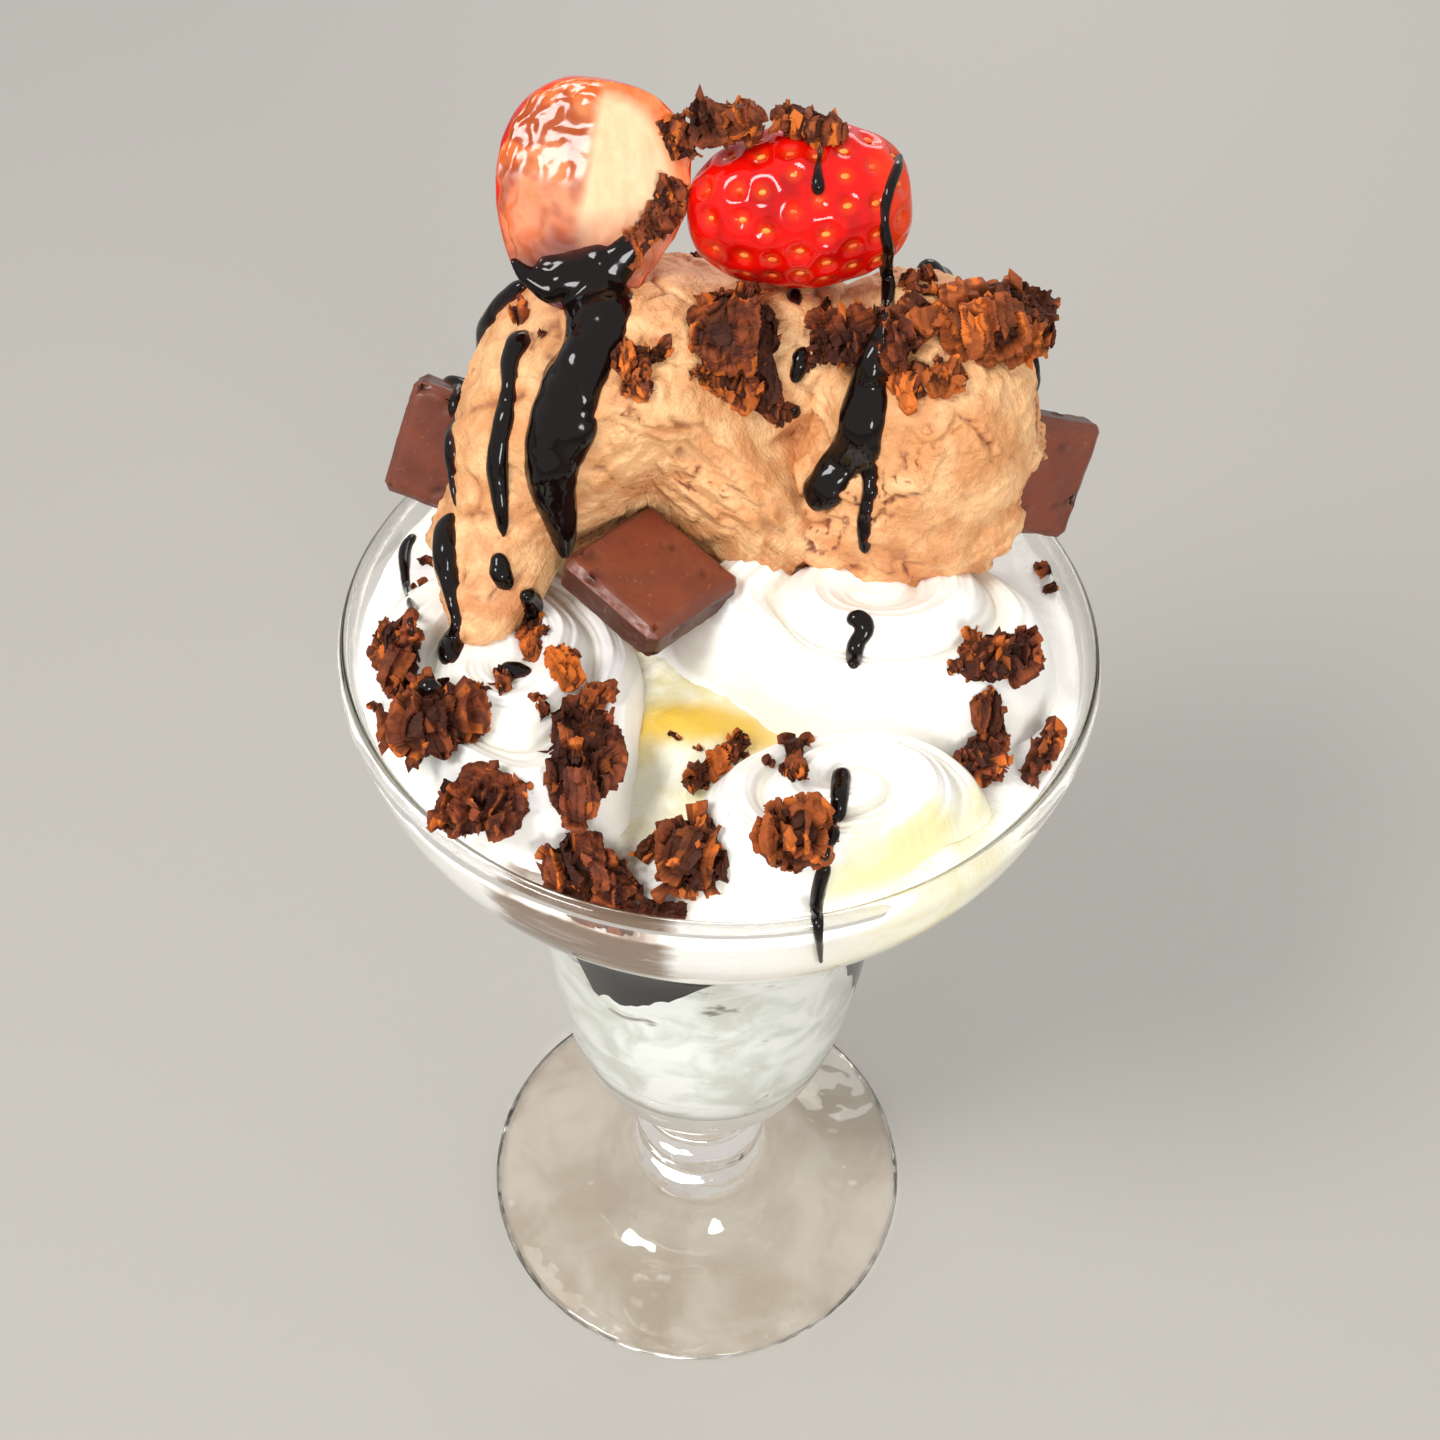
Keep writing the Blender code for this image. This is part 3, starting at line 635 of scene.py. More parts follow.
@dataclass(frozen=True)
class VanillaIce(Finish):
    """Melting vanilla ice cream, deeper gold in the deep gap as painted shade, and stained with
    sauce by the glass.
    """

    name: str = "melting_vanilla"
    pale: Colour = paint(252, 249, 226)
    creamy: Colour = paint(238, 226, 168)
    white: Colour = paint(253, 251, 245)
    # painted shade: deeper gold in the deep gap
    gap_shade: Colour = paint(238, 198, 80)
    stain: Colour = paint(124, 96, 72)

    def mixed(self) -> bpy.types.Material:
        """Lays the material out."""
        recipe = Recipe(self.name)
        clouds = recipe.spread(recipe.noise(9 * MM, detail=4, warp=0.5), 0.38, 0.64)
        inner = recipe.mix(clouds, self.pale, self.creamy)
        base = recipe.mix(recipe.value("white"), inner, self.white)
        # painted shade in the deep gap
        deep = recipe.mix(recipe.spread(recipe.value("gap_shade"), 0.1, 0.9), base, self.gap_shade)
        patches = recipe.noise(7 * MM, detail=5, rough=0.6, stretch=(1.6, 1.6, 0.7), warp=0.6)
        dirt = recipe.spread(recipe.sum(patches, recipe.value("stain")), 0.85, 1.3, 0.0, 0.95)
        grain = recipe.bump(recipe.noise(1.4 * MM, detail=4), 0.25 * MM)
        recipe.set(
            base_color=recipe.mix(dirt, deep, self.stain),
            roughness=0.32,
            subsurface_weight=0.15,
            subsurface_radius=(1.0, 0.8, 0.4),
            subsurface_scale=2 * MM,
            normal=grain,
        )
        return recipe.made


@dataclass(frozen=True)
class ChocolateIce(Finish):
    """Grainy milk chocolate ice cream, darker in its creases and towards its bottom as painted
    shade.
    """

    name: str = "grainy_chocolate_ice"
    light: Colour = paint(241, 190, 135)
    middle: Colour = paint(214, 149, 94)
    # painted shade: low towards the scoop's bottom, crease deep in its creases; crease also colours
    # the random flecks
    low: Colour = paint(190, 112, 62)
    crease: Colour = paint(128, 62, 32)

    def mixed(self) -> bpy.types.Material:
        """Lays the material out."""
        recipe = Recipe(self.name)
        clouds = recipe.spread(recipe.noise(8 * MM, detail=5, rough=0.6, warp=0.4), 0.36, 0.64)
        flecks = recipe.spread(recipe.noise(1.3 * MM, detail=3), 0.56, 0.7)
        upper = recipe.mix(clouds, self.light, self.middle)
        # painted shade: darker towards the bottom of the scoop
        foot = recipe.spread(recipe.axis("Z"), 198 * MM, 174 * MM, 0.0, 0.6)
        base = recipe.mix(recipe.sum(foot, clouds, "MULTIPLY"), upper, self.low)
        fleck = recipe.mix(recipe.sum(flecks, 0.22, "MULTIPLY"), base, self.crease)
        # painted shade: the deeper in a crease or tear, the darker
        depth = recipe.spread(recipe.value("hollow"), 0.3, 1.0)
        coarse = recipe.bump(recipe.noise(2.2 * MM, detail=4, rough=0.6), 0.4 * MM)
        fine = recipe.bump(recipe.noise(0.55 * MM, detail=3, rough=0.6), 0.14 * MM, coarse)
        recipe.set(
            base_color=recipe.mix(depth, fleck, self.crease),
            roughness=recipe.spread(clouds, 0, 1, 0.5, 0.62),
            subsurface_weight=0.1,
            subsurface_radius=(1.0, 0.6, 0.3),
            subsurface_scale=1.5 * MM,
            normal=fine,
        )
        return recipe.made


@dataclass(frozen=True)
class Sauce(Finish):
    """Thick chocolate sauce: near black, red-brown where it is thin, and very glossy."""

    name: str = "glossy_sauce"
    deep: Colour = paint(15, 9, 8)
    thin: Colour = paint(84, 36, 25)
    gloss: float = 0.32

    def mixed(self) -> bpy.types.Material:
        """Lays the material out."""
        recipe = Recipe(self.name)
        broken = recipe.spread(recipe.noise(3 * MM), 0.35, 0.6, 0.4, 1.0)
        edge = recipe.sum(recipe.value("thin"), broken, "MULTIPLY")
        recipe.set(
            base_color=recipe.mix(edge, self.deep, self.thin),
            roughness=0.08,
            ior=1.45,
            specular_ior_level=self.gloss,
            normal=recipe.bump(recipe.noise(5.5 * MM, detail=1), 0.36 * MM),
        )
        return recipe.made


@dataclass(frozen=True)
class Chocolate(Finish):
    """A satin chocolate square with pits; its side faces and its pits are darker as painted shade.
    """

    name: str = "satin_chocolate"
    face: Colour = paint(128, 64, 43)
    cloud: Colour = paint(114, 56, 38)
    # painted shade for the side faces and the pits
    side: Colour = paint(80, 43, 31)
    dust: Colour = paint(178, 112, 84)

    def mixed(self) -> bpy.types.Material:
        """Lays the material out."""
        recipe = Recipe(self.name)
        clouds = recipe.spread(recipe.noise(5 * MM, detail=4), 0.35, 0.65)
        face = recipe.mix(clouds, self.face, self.cloud)
        # painted shade: the side faces and the pits take the darker side colour
        wear_and_shade = recipe.mix(recipe.value("rim"), face, self.side)
        dusty = recipe.spread(recipe.noise(0.8 * MM, detail=2), 0.66, 0.74, 0.0, 0.35)
        recipe.set(
            base_color=recipe.mix(dusty, wear_and_shade, self.dust),
            roughness=recipe.spread(clouds, 0, 1, 0.34, 0.46),
            normal=recipe.bump(recipe.noise(1.2 * MM, detail=4), 0.08 * MM),
        )
        return recipe.made


@dataclass(frozen=True)
class BerrySkin(Finish):
    """Wet strawberry: red skin, orange towards the leaf end as a painted highlight, and a pale cut
    face with a red rim.

    The cut face is red-brown where sauce drenches it.
    """

    name: str = "wet_strawberry"
    red: Colour = paint(224, 12, 4)
    dark: Colour = paint(176, 6, 6)
    # painted highlight towards the leaf end; also the colour round the seeds
    orange: Colour = paint(246, 92, 22)
    flesh: Colour = paint(246, 205, 160)
    vein: Colour = paint(244, 168, 108)
    blush: Colour = paint(238, 116, 50)
    syrup: Colour = paint(168, 72, 32)
    drenched: Colour = paint(104, 34, 20)

    def mixed(self) -> bpy.types.Material:
        """Lays the material out."""
        recipe = Recipe(self.name)
        clouds = recipe.spread(recipe.noise(7 * MM, detail=3), 0.4, 0.65)
        skin = recipe.mix(clouds, self.red, self.dark)
        # painted highlight: orange towards the leaf end
        lit = recipe.mix(recipe.value("shoulder"), skin, self.orange)
        dimple = recipe.mix(recipe.value("dimple"), lit, self.orange)
        veins = recipe.spread(recipe.noise(1.6 * MM, detail=4, stretch=(1, 1, 4)), 0.4, 0.65)
        inner = recipe.mix(recipe.value("blush"), self.flesh, self.blush)
        veined = recipe.mix(recipe.sum(veins, 0.3, "MULTIPLY"), inner, self.vein)
        streaks = recipe.spread(recipe.noise(6 * MM, detail=2, warp=0.5), 0.4, 0.58, 0.25)
        syrup = recipe.sum(recipe.value("syrup"), recipe.sum(streaks, 0.9, "MULTIPLY"), "MULTIPLY")
        wetted = recipe.mix(syrup, veined, self.syrup)
        stained = recipe.mix(recipe.value("drenched"), wetted, self.drenched)
        dull = recipe.sum(recipe.value("cut"), recipe.value("wet"), "SUBTRACT")
        recipe.set(
            base_color=recipe.mix(recipe.value("cut"), dimple, stained),
            roughness=recipe.spread(dull, 0.1, 0.9, 0.1, 0.42),
            specular_ior_level=0.36,
            subsurface_weight=0.2,
            subsurface_radius=(1.0, 0.3, 0.15),
            subsurface_scale=2.5 * MM,
            normal=recipe.bump(recipe.noise(5.6 * MM, detail=1, stretch=(2.2, 1, 0.8)), 0.34 * MM),
        )
        return recipe.made


@dataclass(frozen=True)
class Seed(Finish):
    """The small straw-yellow seeds in a strawberry's dimples."""

    name: str = "strawberry_seed"
    straw: Colour = paint(250, 150, 60)
    ripe: Colour = paint(226, 84, 30)

    def mixed(self) -> bpy.types.Material:
        """Lays the material out."""
        recipe = Recipe(self.name)
        tone = recipe.spread(recipe.noise(4 * MM, detail=2), 0.4, 0.6)
        recipe.set(
            base_color=recipe.mix(tone, self.straw, self.ripe),
            roughness=0.3,
        )
        return recipe.made


@dataclass(frozen=True)
class BrownieCrumb(Finish):
    """Broken brownie: dark red-brown and fibrous, with orange-brown patches as painted highlight
    and darker hollows as painted shade.
    """

    name: str = "torn_brownie"
    dark: Colour = paint(84, 38, 22)
    middle: Colour = paint(140, 68, 36)
    # painted highlight: the orange-brown patches on the fibres
    torn: Colour = paint(214, 112, 40)
    # painted shade in the hollows
    pit: Colour = paint(50, 22, 13)

    def mixed(self) -> bpy.types.Material:
        """Lays the material out."""
        recipe = Recipe(self.name)
        crumb = recipe.spread(recipe.noise(2.4 * MM, detail=5, rough=0.6, warp=0.5), 0.36, 0.62)
        base = recipe.mix(crumb, self.dark, self.middle)
        # painted highlight: orange-brown where the torn value is high
        torn = recipe.mix(recipe.value("torn"), base, self.torn)
        # painted shade: the deeper a hollow, the darker
        deep = recipe.mix(recipe.value("hollow"), torn, self.pit)
        pores = recipe.bump(recipe.noise(0.7 * MM, detail=3, rough=0.6), 0.16 * MM)
        recipe.set(base_color=deep, roughness=0.66, specular_ior_level=0.22, normal=pores)
        return recipe.made


@dataclass(frozen=True)
class StudioFloor(Finish):
    """The plain pale floor."""

    name: str = "studio_floor"
    tone: Colour = paint(172, 169, 163)

    def mixed(self) -> bpy.types.Material:
        """Lays the material out."""
        recipe = Recipe(self.name)
        recipe.set(base_color=self.tone, roughness=0.9)
        return recipe.made


@dataclass(frozen=True)
class Sight:
    """The photograph's camera: where it stands, and what each pixel of the photograph sees."""

    place: tuple[float, float, float] = (0.0005, -0.2002, 0.3730)
    pitch: float = 48.42
    roll: float = 2.6
    lens: float = 47.5
    sensor: float = 36.0

    def matrix(self) -> Matrix:
        """Where the camera stands and how it is turned."""
        down = Matrix.Rotation(math.radians(-self.pitch), 4, "X")
        level = Matrix.Rotation(math.radians(90), 4, "X")
        return Matrix.Translation(self.place) @ down @ level @ Matrix.Rotation(
            math.radians(self.roll), 4, "Z"
        )

    def ray(self, u: float, v: float) -> Vector:
        """The direction in which the camera sees a pixel."""
        focal = self.lens / self.sensor * IMAGE_SIDE
        half = IMAGE_SIDE / 2
        local = Vector(((u - half) / focal, (half - v) / focal, -1.0))
        return (self.matrix().to_3x3() @ local).normalized()

    def scale(self, point: Vector) -> float:
        """How many metres one pixel spans at a point."""
        depth = (self.matrix().inverted() @ Vector(point)).z
        return -depth / (self.lens / self.sensor * IMAGE_SIDE)

    def build(self) -> None:
        """Makes the camera and looks through it."""
        camera = bpy.data.cameras.new("camera")
        camera.lens = self.lens
        camera.sensor_width = self.sensor
        stand = bpy.data.objects.new("camera", camera)
        stand.matrix_world = self.matrix()
        bpy.context.scene.collection.objects.link(stand)
        bpy.context.scene.camera = stand


class Ground:
    """Surfaces that sauce and crumbs lie on, found along sight lines and by nearest points."""

    def __init__(self, skins: Sequence[Skin], sight: Sight) -> None:
        """Sorts the skins' faces for quick searches."""
        whole = joined([Skin(skin.points, skin.faces) for skin in skins])
        self.tree = BVHTree.FromPolygons(whole.points.tolist(), whole.faces)
        self.sight = sight

    def seen(self, u: float, v: float) -> Optional[tuple[Vector, Vector]]:
        """What the camera sees at a pixel, as a place and its outward direction, or None."""
        found = self.tree.ray_cast(Vector(self.sight.place), self.sight.ray(u, v))
        return (found[0], found[1]) if found[0] is not None else None

    def toward(
        self, target: Sequence[float], azimuth: float, elevation: float, reach: float = 0.3
    ) -> Optional[tuple[Vector, Vector]]:
        """What is met first on the way to a target.

        Args:
            target: The place aimed at, in metres.
            azimuth: The direction that the line comes from, in degrees from +X.
            elevation: How far above the horizon it comes from, in degrees.
            reach: How far out it starts, in metres.

        Returns:
            The place and its outward direction, or None if nothing is in the way.
        """
        a, e = math.radians(azimuth), math.radians(elevation)
        out = Vector((math.cos(a) * math.cos(e), math.sin(a) * math.cos(e), math.sin(e)))
        found = self.tree.ray_cast(Vector(target) + out * reach, -out)
        return (found[0], found[1]) if found[0] is not None else None

    def nearest(self, points: Points) -> tuple[Points, Points]:
        """The nearest surface to each point, as places and outward directions."""
        found = [self.tree.find_nearest(Vector(p)) for p in points]
        return np.array([f[0] for f in found]), np.array([f[1] for f in found])


@dataclass(frozen=True)
class GlassForm:
    """The glass's turned form, in millimetres up its outside, and its wall."""

    height: float = 170 * MM
    rim: float = 57 * MM
    foot: float = 43 * MM
    cup_floor: float = 58 * MM
    rounding: float = 10 * MM
    cup_wall: float = 2.9 * MM
    lip_wall: float = 2.3 * MM
    stem: float = 36 * MM
    outside: tuple[tuple[float, float], ...] = (
        (43.0, 2.0), (41.5, 3.9), (26.0, 5.8), (16.6, 12.0), (13.0, 20.0), (13.3, 28.0),
        (11.9, 36.0), (15.2, 45.0), (22.4, 55.5), (26.0, 68.0), (28.4, 86.0), (30.2, 106.0),
        (33.2, 123.0), (40.2, 135.0), (48.5, 145.0), (54.2, 155.5), (56.6, 164.5),
    )

    def outer(self, z: Points) -> Points:
        """The outer radius at heights above the stem."""
        curve = smooth_keys(self.outside, 240) * MM
        above = curve[curve[:, 1] >= self.stem]
        return np.interp(z, above[:, 1], above[:, 0])

    def inner(self, z: Points) -> Points:
        """The inner radius at these heights: the wall thins to the lip, and the floor is round."""
        heights = np.asarray(z, float)
        lip = np.clip((heights - 120 * MM) / (self.height - 120 * MM), 0, 1)
        wall = self.cup_wall + (self.lip_wall - self.cup_wall) * lip
        below = np.clip((self.cup_floor + self.rounding - heights) / self.rounding, 0, 1)
        return (self.outer(heights) - wall) * np.sqrt(1 - below**2)


@dataclass
class Glass:
    """The footed glass, in one turned piece."""

    form: GlassForm = field(default_factory=GlassForm)
    segments: int = 144
    dish: float = 31 * MM
    hollow: float = 1.8 * MM

    def profile(self) -> list[tuple[float, float]]:
        """The radius and height of each ring, from under the foot up and down into the cup."""
        form = self.form
        under = [(self.dish * s, self.hollow * (1 - s**4)) for s in (0.3, 0.6, 0.85, 1.0)]
        under += [(form.foot - 2.2 * MM, 0.0), (form.foot - 1.0 * MM, 0.25 * MM)]
        outside = [tuple(row) for row in smooth_keys(form.outside, 110) * MM]
        top = form.height
        lip = [
            (form.rim, top - 3.2 * MM),
            (form.rim, top - 1.6 * MM),
            (form.rim - 0.35 * MM, top - 0.5 * MM),
            (form.rim - 1.1 * MM, top),
            (form.rim - 2.0 * MM, top - 0.4 * MM),
            (form.rim - 2.5 * MM, top - 1.4 * MM),
        ]
        heights = np.concatenate(
            [
                np.linspace(top - 4 * MM, 112 * MM, 44),
                np.linspace(108 * MM, form.cup_floor + form.rounding, 14),
                form.cup_floor + form.rounding * np.array([0.8, 0.6, 0.42, 0.28, 0.16, 0.07, 0.02]),
            ]
        )
        inside = list(zip(form.inner(heights), heights))
        return under + outside + lip + inside

    def skin(self) -> Skin:
        """The turned surface."""
        profile = np.array(self.profile())
        angles = TAU * np.arange(self.segments) / self.segments
        rings = np.stack(
            [
                profile[:, :1] * np.cos(angles),
                profile[:, :1] * np.sin(angles),
                np.repeat(profile[:, 1:], self.segments, 1),
            ],
            -1,
        )
        return capped(rings, (0, 0, self.hollow), (0, 0, self.form.cup_floor))

    def build(self) -> Skin:
        """Makes the glass.

        Returns:
            Its skin, for what lies on it.
        """
        skin = self.skin()
        nodes = ("glass_foot", "glass_cup", "glass_bowl")
        dress("footed_glass", skin, ClearGlass(), Slot.GLASS, nodes)
        return skin


def hump(angle: Points, centre: float, width: float) -> Points:
    """1 at the centre angle in degrees, falling smoothly to 0 a few widths away."""
    away = (angle - math.radians(centre) + math.pi) % TAU - math.pi
    return np.exp(-((away / math.radians(width)) ** 2))


@dataclass
class Fillings:
    """What fills the glass up to the cream: cream in the cup, sauce, and vanilla ice cream.

    Each reaches just into the glass's wall, so that no air gap shows. drops holds how far the
    sauce runs down in millimetres, and at which azimuth and how wide in degrees. rises holds
    where the vanilla rises, how far and how wide, in millimetres.
    """

    form: GlassForm
    bite: float = 0.12 * MM
    segments: int = 160
    rings: int = 44
    sauce_level: float = 117 * MM
    sauce_depth: float = 9 * MM
    bed_level: float = 165 * MM
    drops: tuple[tuple[float, float, float], ...] = (
        (12, 238, 22),
        (32, 350, 26),
        (9, 120, 30),
        (-7, 284, 16),
    )
    rises: tuple[tuple[float, float, float, float], ...] = (
        (4, 15, 12, 30),
        (-3, -25, 6, 10),
        (31, -42, 3.5, 9),
    )

    def cup_bottom(self, angle: Points, share: Points) -> Points:
        """The cup's round floor."""
        reach = self.form.inner(np.array([66 * MM]))[0]
        heights = np.linspace(self.form.cup_floor, 66 * MM, 60)
        return np.interp(share * reach, self.form.inner(heights), heights) - self.bite

    def sauce_low(self, angle: Points, share: Points) -> Points:
        """The sauce's lower face, which runs down the glass in ragged places."""
        runs = sum(depth * hump(angle, centre, width) for depth, centre, width in self.drops)
        wave = 1.5 * np.sin(3 * angle + 1)
        ragged = self.rag(angle, share, 6 * MM) * (1.2 + 0.35 * np.maximum(runs, 0))
        return self.sauce_level - (runs * share**3 + wave * share + ragged * share) * MM

    def sauce_high(self, angle: Points, share: Points) -> Points:
        """The sauce's upper face."""
        wave = 1.5 * share * np.sin(2 * angle + 0.6) + 1.6 * share * self.rag(angle, share, 8 * MM)
        return self.sauce_level + self.sauce_depth + wave * MM

    def rag(self, angle: Points, share: Points, size: float) -> Points:
        """Uneven edges round the wall, about -1 to 1."""
        turn = np.stack([np.cos(angle), np.sin(angle), np.zeros_like(angle)], -1)
        places = turn * (share[..., None] * 30 * MM)
        flat = fractal(places.reshape(-1, 3), size, 4, 2.0)
        return flat.reshape(angle.shape)

    def bed(self, x: Points, y: Points) -> Points:
        """The vanilla's height, with its rises and its grain."""
        height = np.full_like(x, self.bed_level)
        for cx, cy, rise, width in self.rises:
            away = (x / MM - cx) ** 2 + (y / MM - cy) ** 2
            height += rise * MM * np.exp(-away / width**2)
        places = np.stack([x, y, height], -1).reshape(-1, 3)
        grain = 0.9 * fractal(places, 9 * MM, 4, 4.0) + 0.35 * fractal(places, 2 * MM, 3, 5.0)
        return height + grain.reshape(x.shape) * MM

    def bed_high(self, angle: Points, share: Points) -> Points:
        """The vanilla's top at directions and shares of the radius."""
        radius = self.form.inner(np.array([self.bed_level]))[0] * share
        return self.bed(radius * np.cos(angle), radius * np.sin(angle))

    def layer(self, low: Callable, high: Callable) -> Skin:
        """A filling between two faces, out to the wall.

        Args:
            low: Gives the lower face's height at angles and shares of the radius.
            high: Gives the upper face's height in the same way.

        Returns:
            The filling's skin.
        """
        angles = TAU * np.arange(self.segments) / self.segments
        shares = np.linspace(0, 1, self.rings + 1)[1:]
        a, s = np.meshgrid(angles, shares)
        faces = []
        for level in (low, high):
            z = level(a, s)
            edge = self.form.inner(z[-1]) + self.bite
            radius = edge * s
            faces.append(np.stack([radius * np.cos(a), radius * np.sin(a), z], -1))
        climb = np.linspace(0, 1, 42)[1:-1, None]
        z = faces[0][-1, :, 2] * (1 - climb) + faces[1][-1, :, 2] * climb
        radius = self.form.inner(z) + self.bite
        wall = np.stack([radius * np.cos(angles), radius * np.sin(angles), z], -1)
        rings = np.concatenate([faces[0], wall, faces[1][::-1]])
        zero = np.zeros(1)
        ends = [(0, 0, float(level(zero, zero)[0])) for level in (low, high)]
        return capped(rings, *ends)

    def build(self) -> Skin:
        """Makes the three fillings.

        Returns:
            The vanilla's skin, for what lies on it.
        """
        cream = self.layer(self.cup_bottom, self.sauce_low)
        dress("cream_in_cup", cream, CupCream(), Slot.CREAM, ("lower_cream",))
        sauce = self.layer(self.sauce_low, self.sauce_high)
        sauce.values["thin"] = np.zeros(len(sauce.points))
        behind = Sauce("sauce_behind_glass", deep=paint(16, 11, 9), gloss=0.0)
        dress("sauce_in_glass", sauce, behind, Slot.SAUCE, ("sauce_layer",))
        vanilla = self.layer(self.sauce_high, self.bed_high)
        x, y, z = vanilla.points.T / MM
        # painted shade: where the vanilla lies deep in the gap
        gap = np.exp(-(((x + 2) / 16) ** 2) - ((y + 22.5) / 4.5) ** 2)
        vanilla.values["gap_shade"] = gap * (z > 160)
        ends = np.clip((x + 34) / 8, 0, 1) * np.clip((-1 - x) / 6, 0, 1)
        vanilla.values["stain"] = 0.85 * ends * (y < -20) * np.clip((167 - z) / 3, 0, 1)
        right = np.exp(-(((x - 28) / 15) ** 2) - ((y + 40) / 12) ** 2)
        vanilla.values["white"] = np.clip((np.hypot(x, y) - 34) / 12, 0, 1) * (1 - 0.95 * right)
        dress("vanilla", vanilla, VanillaIce(), Slot.VANILLA, ("vanilla_ice_cream",))
        return vanilla


@dataclass(frozen=True)
class Swirl:
    """One piped swirl: plan place and radii in millimetres, top height, turn and winding."""

    name: str
    centre: tuple[float, float]
    radii: tuple[float, float]
    top: float
    turn: float
    turns: float
    hand: Winding
    base: float = 158.0
    ridge: float = 1.7
    shoulder: float = 14.0

    def plan(self, share: Points, angle: Points) -> tuple[Points, Points]:
        """The plan place at shares of the radius and angles about the centre, in metres."""
        turn = math.radians(self.turn)
        u = self.radii[0] * MM * share * np.cos(angle)
        v = self.radii[1] * MM * share * np.sin(angle)
        x = self.centre[0] * MM + u * math.cos(turn) - v * math.sin(turn)
        y = self.centre[1] * MM + u * math.sin(turn) + v * math.cos(turn)
        return x, y

    def folds(self, share: Points, angle: Points, x: Points, y: Points) -> Points:
        """The piped ribbon's rounded folds and fine flutes, about -1 to 1."""
        flat = np.stack([x, y, np.zeros_like(x)], -1).reshape(-1, 3)
        bend = (0.9 * fractal(flat, 17 * MM, 2, self.turns)).reshape(x.shape)
        phase = TAU * self.turns * share - self.hand.value * angle + bend
        rounded = 2 * np.abs(np.cos(phase / 2)) ** 0.8 - 1
        flutes = 0.13 * np.cos(4 * phase + 3 * bend) + 0.07 * np.cos(9 * phase + 5 * bend)
        return rounded + flutes

    def skin(self, wall: float, segments: int = 260, rings: int = 96) -> Skin:
        """The swirl's surface.

        Args:
            wall: The furthest that it reaches from the glass's axis, in metres.
            segments: How many points each ring has.
            rings: How many rings there are.

        Returns:
            Its skin, with how deep in a fold each point lies.
        """
        angles = TAU * np.arange(segments) / segments
        shares = np.linspace(0.0, 1.0, 101)
        a, s = np.meshgrid(angles, shares)
        x, y = self.plan(s, a)
        fits = np.hypot(x, y) <= wall
        edge = shares[np.maximum(fits.cumprod(0).sum(0) - 1, 1)]
        climb = (np.arange(rings, 0, -1) / rings) ** 0.9
        a, out = np.meshgrid(angles, climb)
        s = out * edge
        x, y = self.plan(s, a)
        dome = (1 - np.minimum(s, 1) ** 3) ** 0.6 * (1 - out**self.shoulder) ** 0.5
        fold = self.folds(s, a, x, y) * np.minimum(1, 3 * s)
        flat = np.stack([x, y, np.zeros_like(x)], -1).reshape(-1, 3)
        soft = 0.7 * fractal(flat, 12 * MM, 3, 1.0 + self.turn).reshape(x.shape)
        z = self.base + (self.top - self.base) * dome + self.ridge * fold * (0.3 + 0.7 * dome)
        z += soft * dome
        top = np.stack([x, y, z * MM], -1)
        foot = top[0] * [1, 1, 0] + [0, 0, (self.base - 2) * MM]
        rings_all = np.concatenate([foot[None], top])
        cx, cy = (c * MM for c in self.centre)
        skin = capped(rings_all, (cx, cy, foot[0, 2]), (cx, cy, float(z[-1].mean()) * MM))
        # hollow: how deep in a fold each point lies, where the cream's finish paints shade
        deep = np.clip(0.5 - 0.5 * fold, 0, 1) * dome
        skin.values["hollow"] = np.concatenate([[0], np.zeros(segments), deep.ravel(), [0]])
        x, y = skin.points[:, 0] / MM, skin.points[:, 1] / MM
        edge = np.clip((np.hypot(x, y) - 46.5) / 4, 0, 1)
        skin.values["soaked"] = edge * hump(np.arctan2(y, x), -54, 20)
        return skin


@dataclass
class CreamRing:
    """The five piped swirls round the scoops."""

    form: GlassForm
    clearance: float = 2.4 * MM
    level: float = 165 * MM
    swirls: tuple[Swirl, ...] = (
        Swirl("right", (20, -4), (35, 22), 182, -4, 2.6, Winding.RIGHT),
        Swirl("front", (17, -37), (25, 16), 178, 18, 2.3, Winding.LEFT),
        Swirl("left", (-31, -18), (25, 33), 178, 12, 2.8, Winding.RIGHT),
        Swirl("back_left", (-27, 35), (26, 20), 181, 25, 2.4, Winding.LEFT, shoulder=5.0),
        Swirl("back_right", (21, 39), (26, 17), 180, -20, 2.4, Winding.RIGHT, shoulder=5.0),
    )

    def build(self) -> list[Skin]:
        """Makes the swirls.

        Returns:
            Their skins, for what lies on them.
        """
        wall = float(self.form.inner(np.array([self.level]))[0]) - self.clearance
        skins = []
        for swirl in self.swirls:
            skin = swirl.skin(wall)
            dress(
                "cream_swirl_" + swirl.name,
                skin,
                WhippedCream(),
                Slot.CREAM,
                ("whipped_cream_" + swirl.name,),
            )
            skins.append(skin)
        return skins


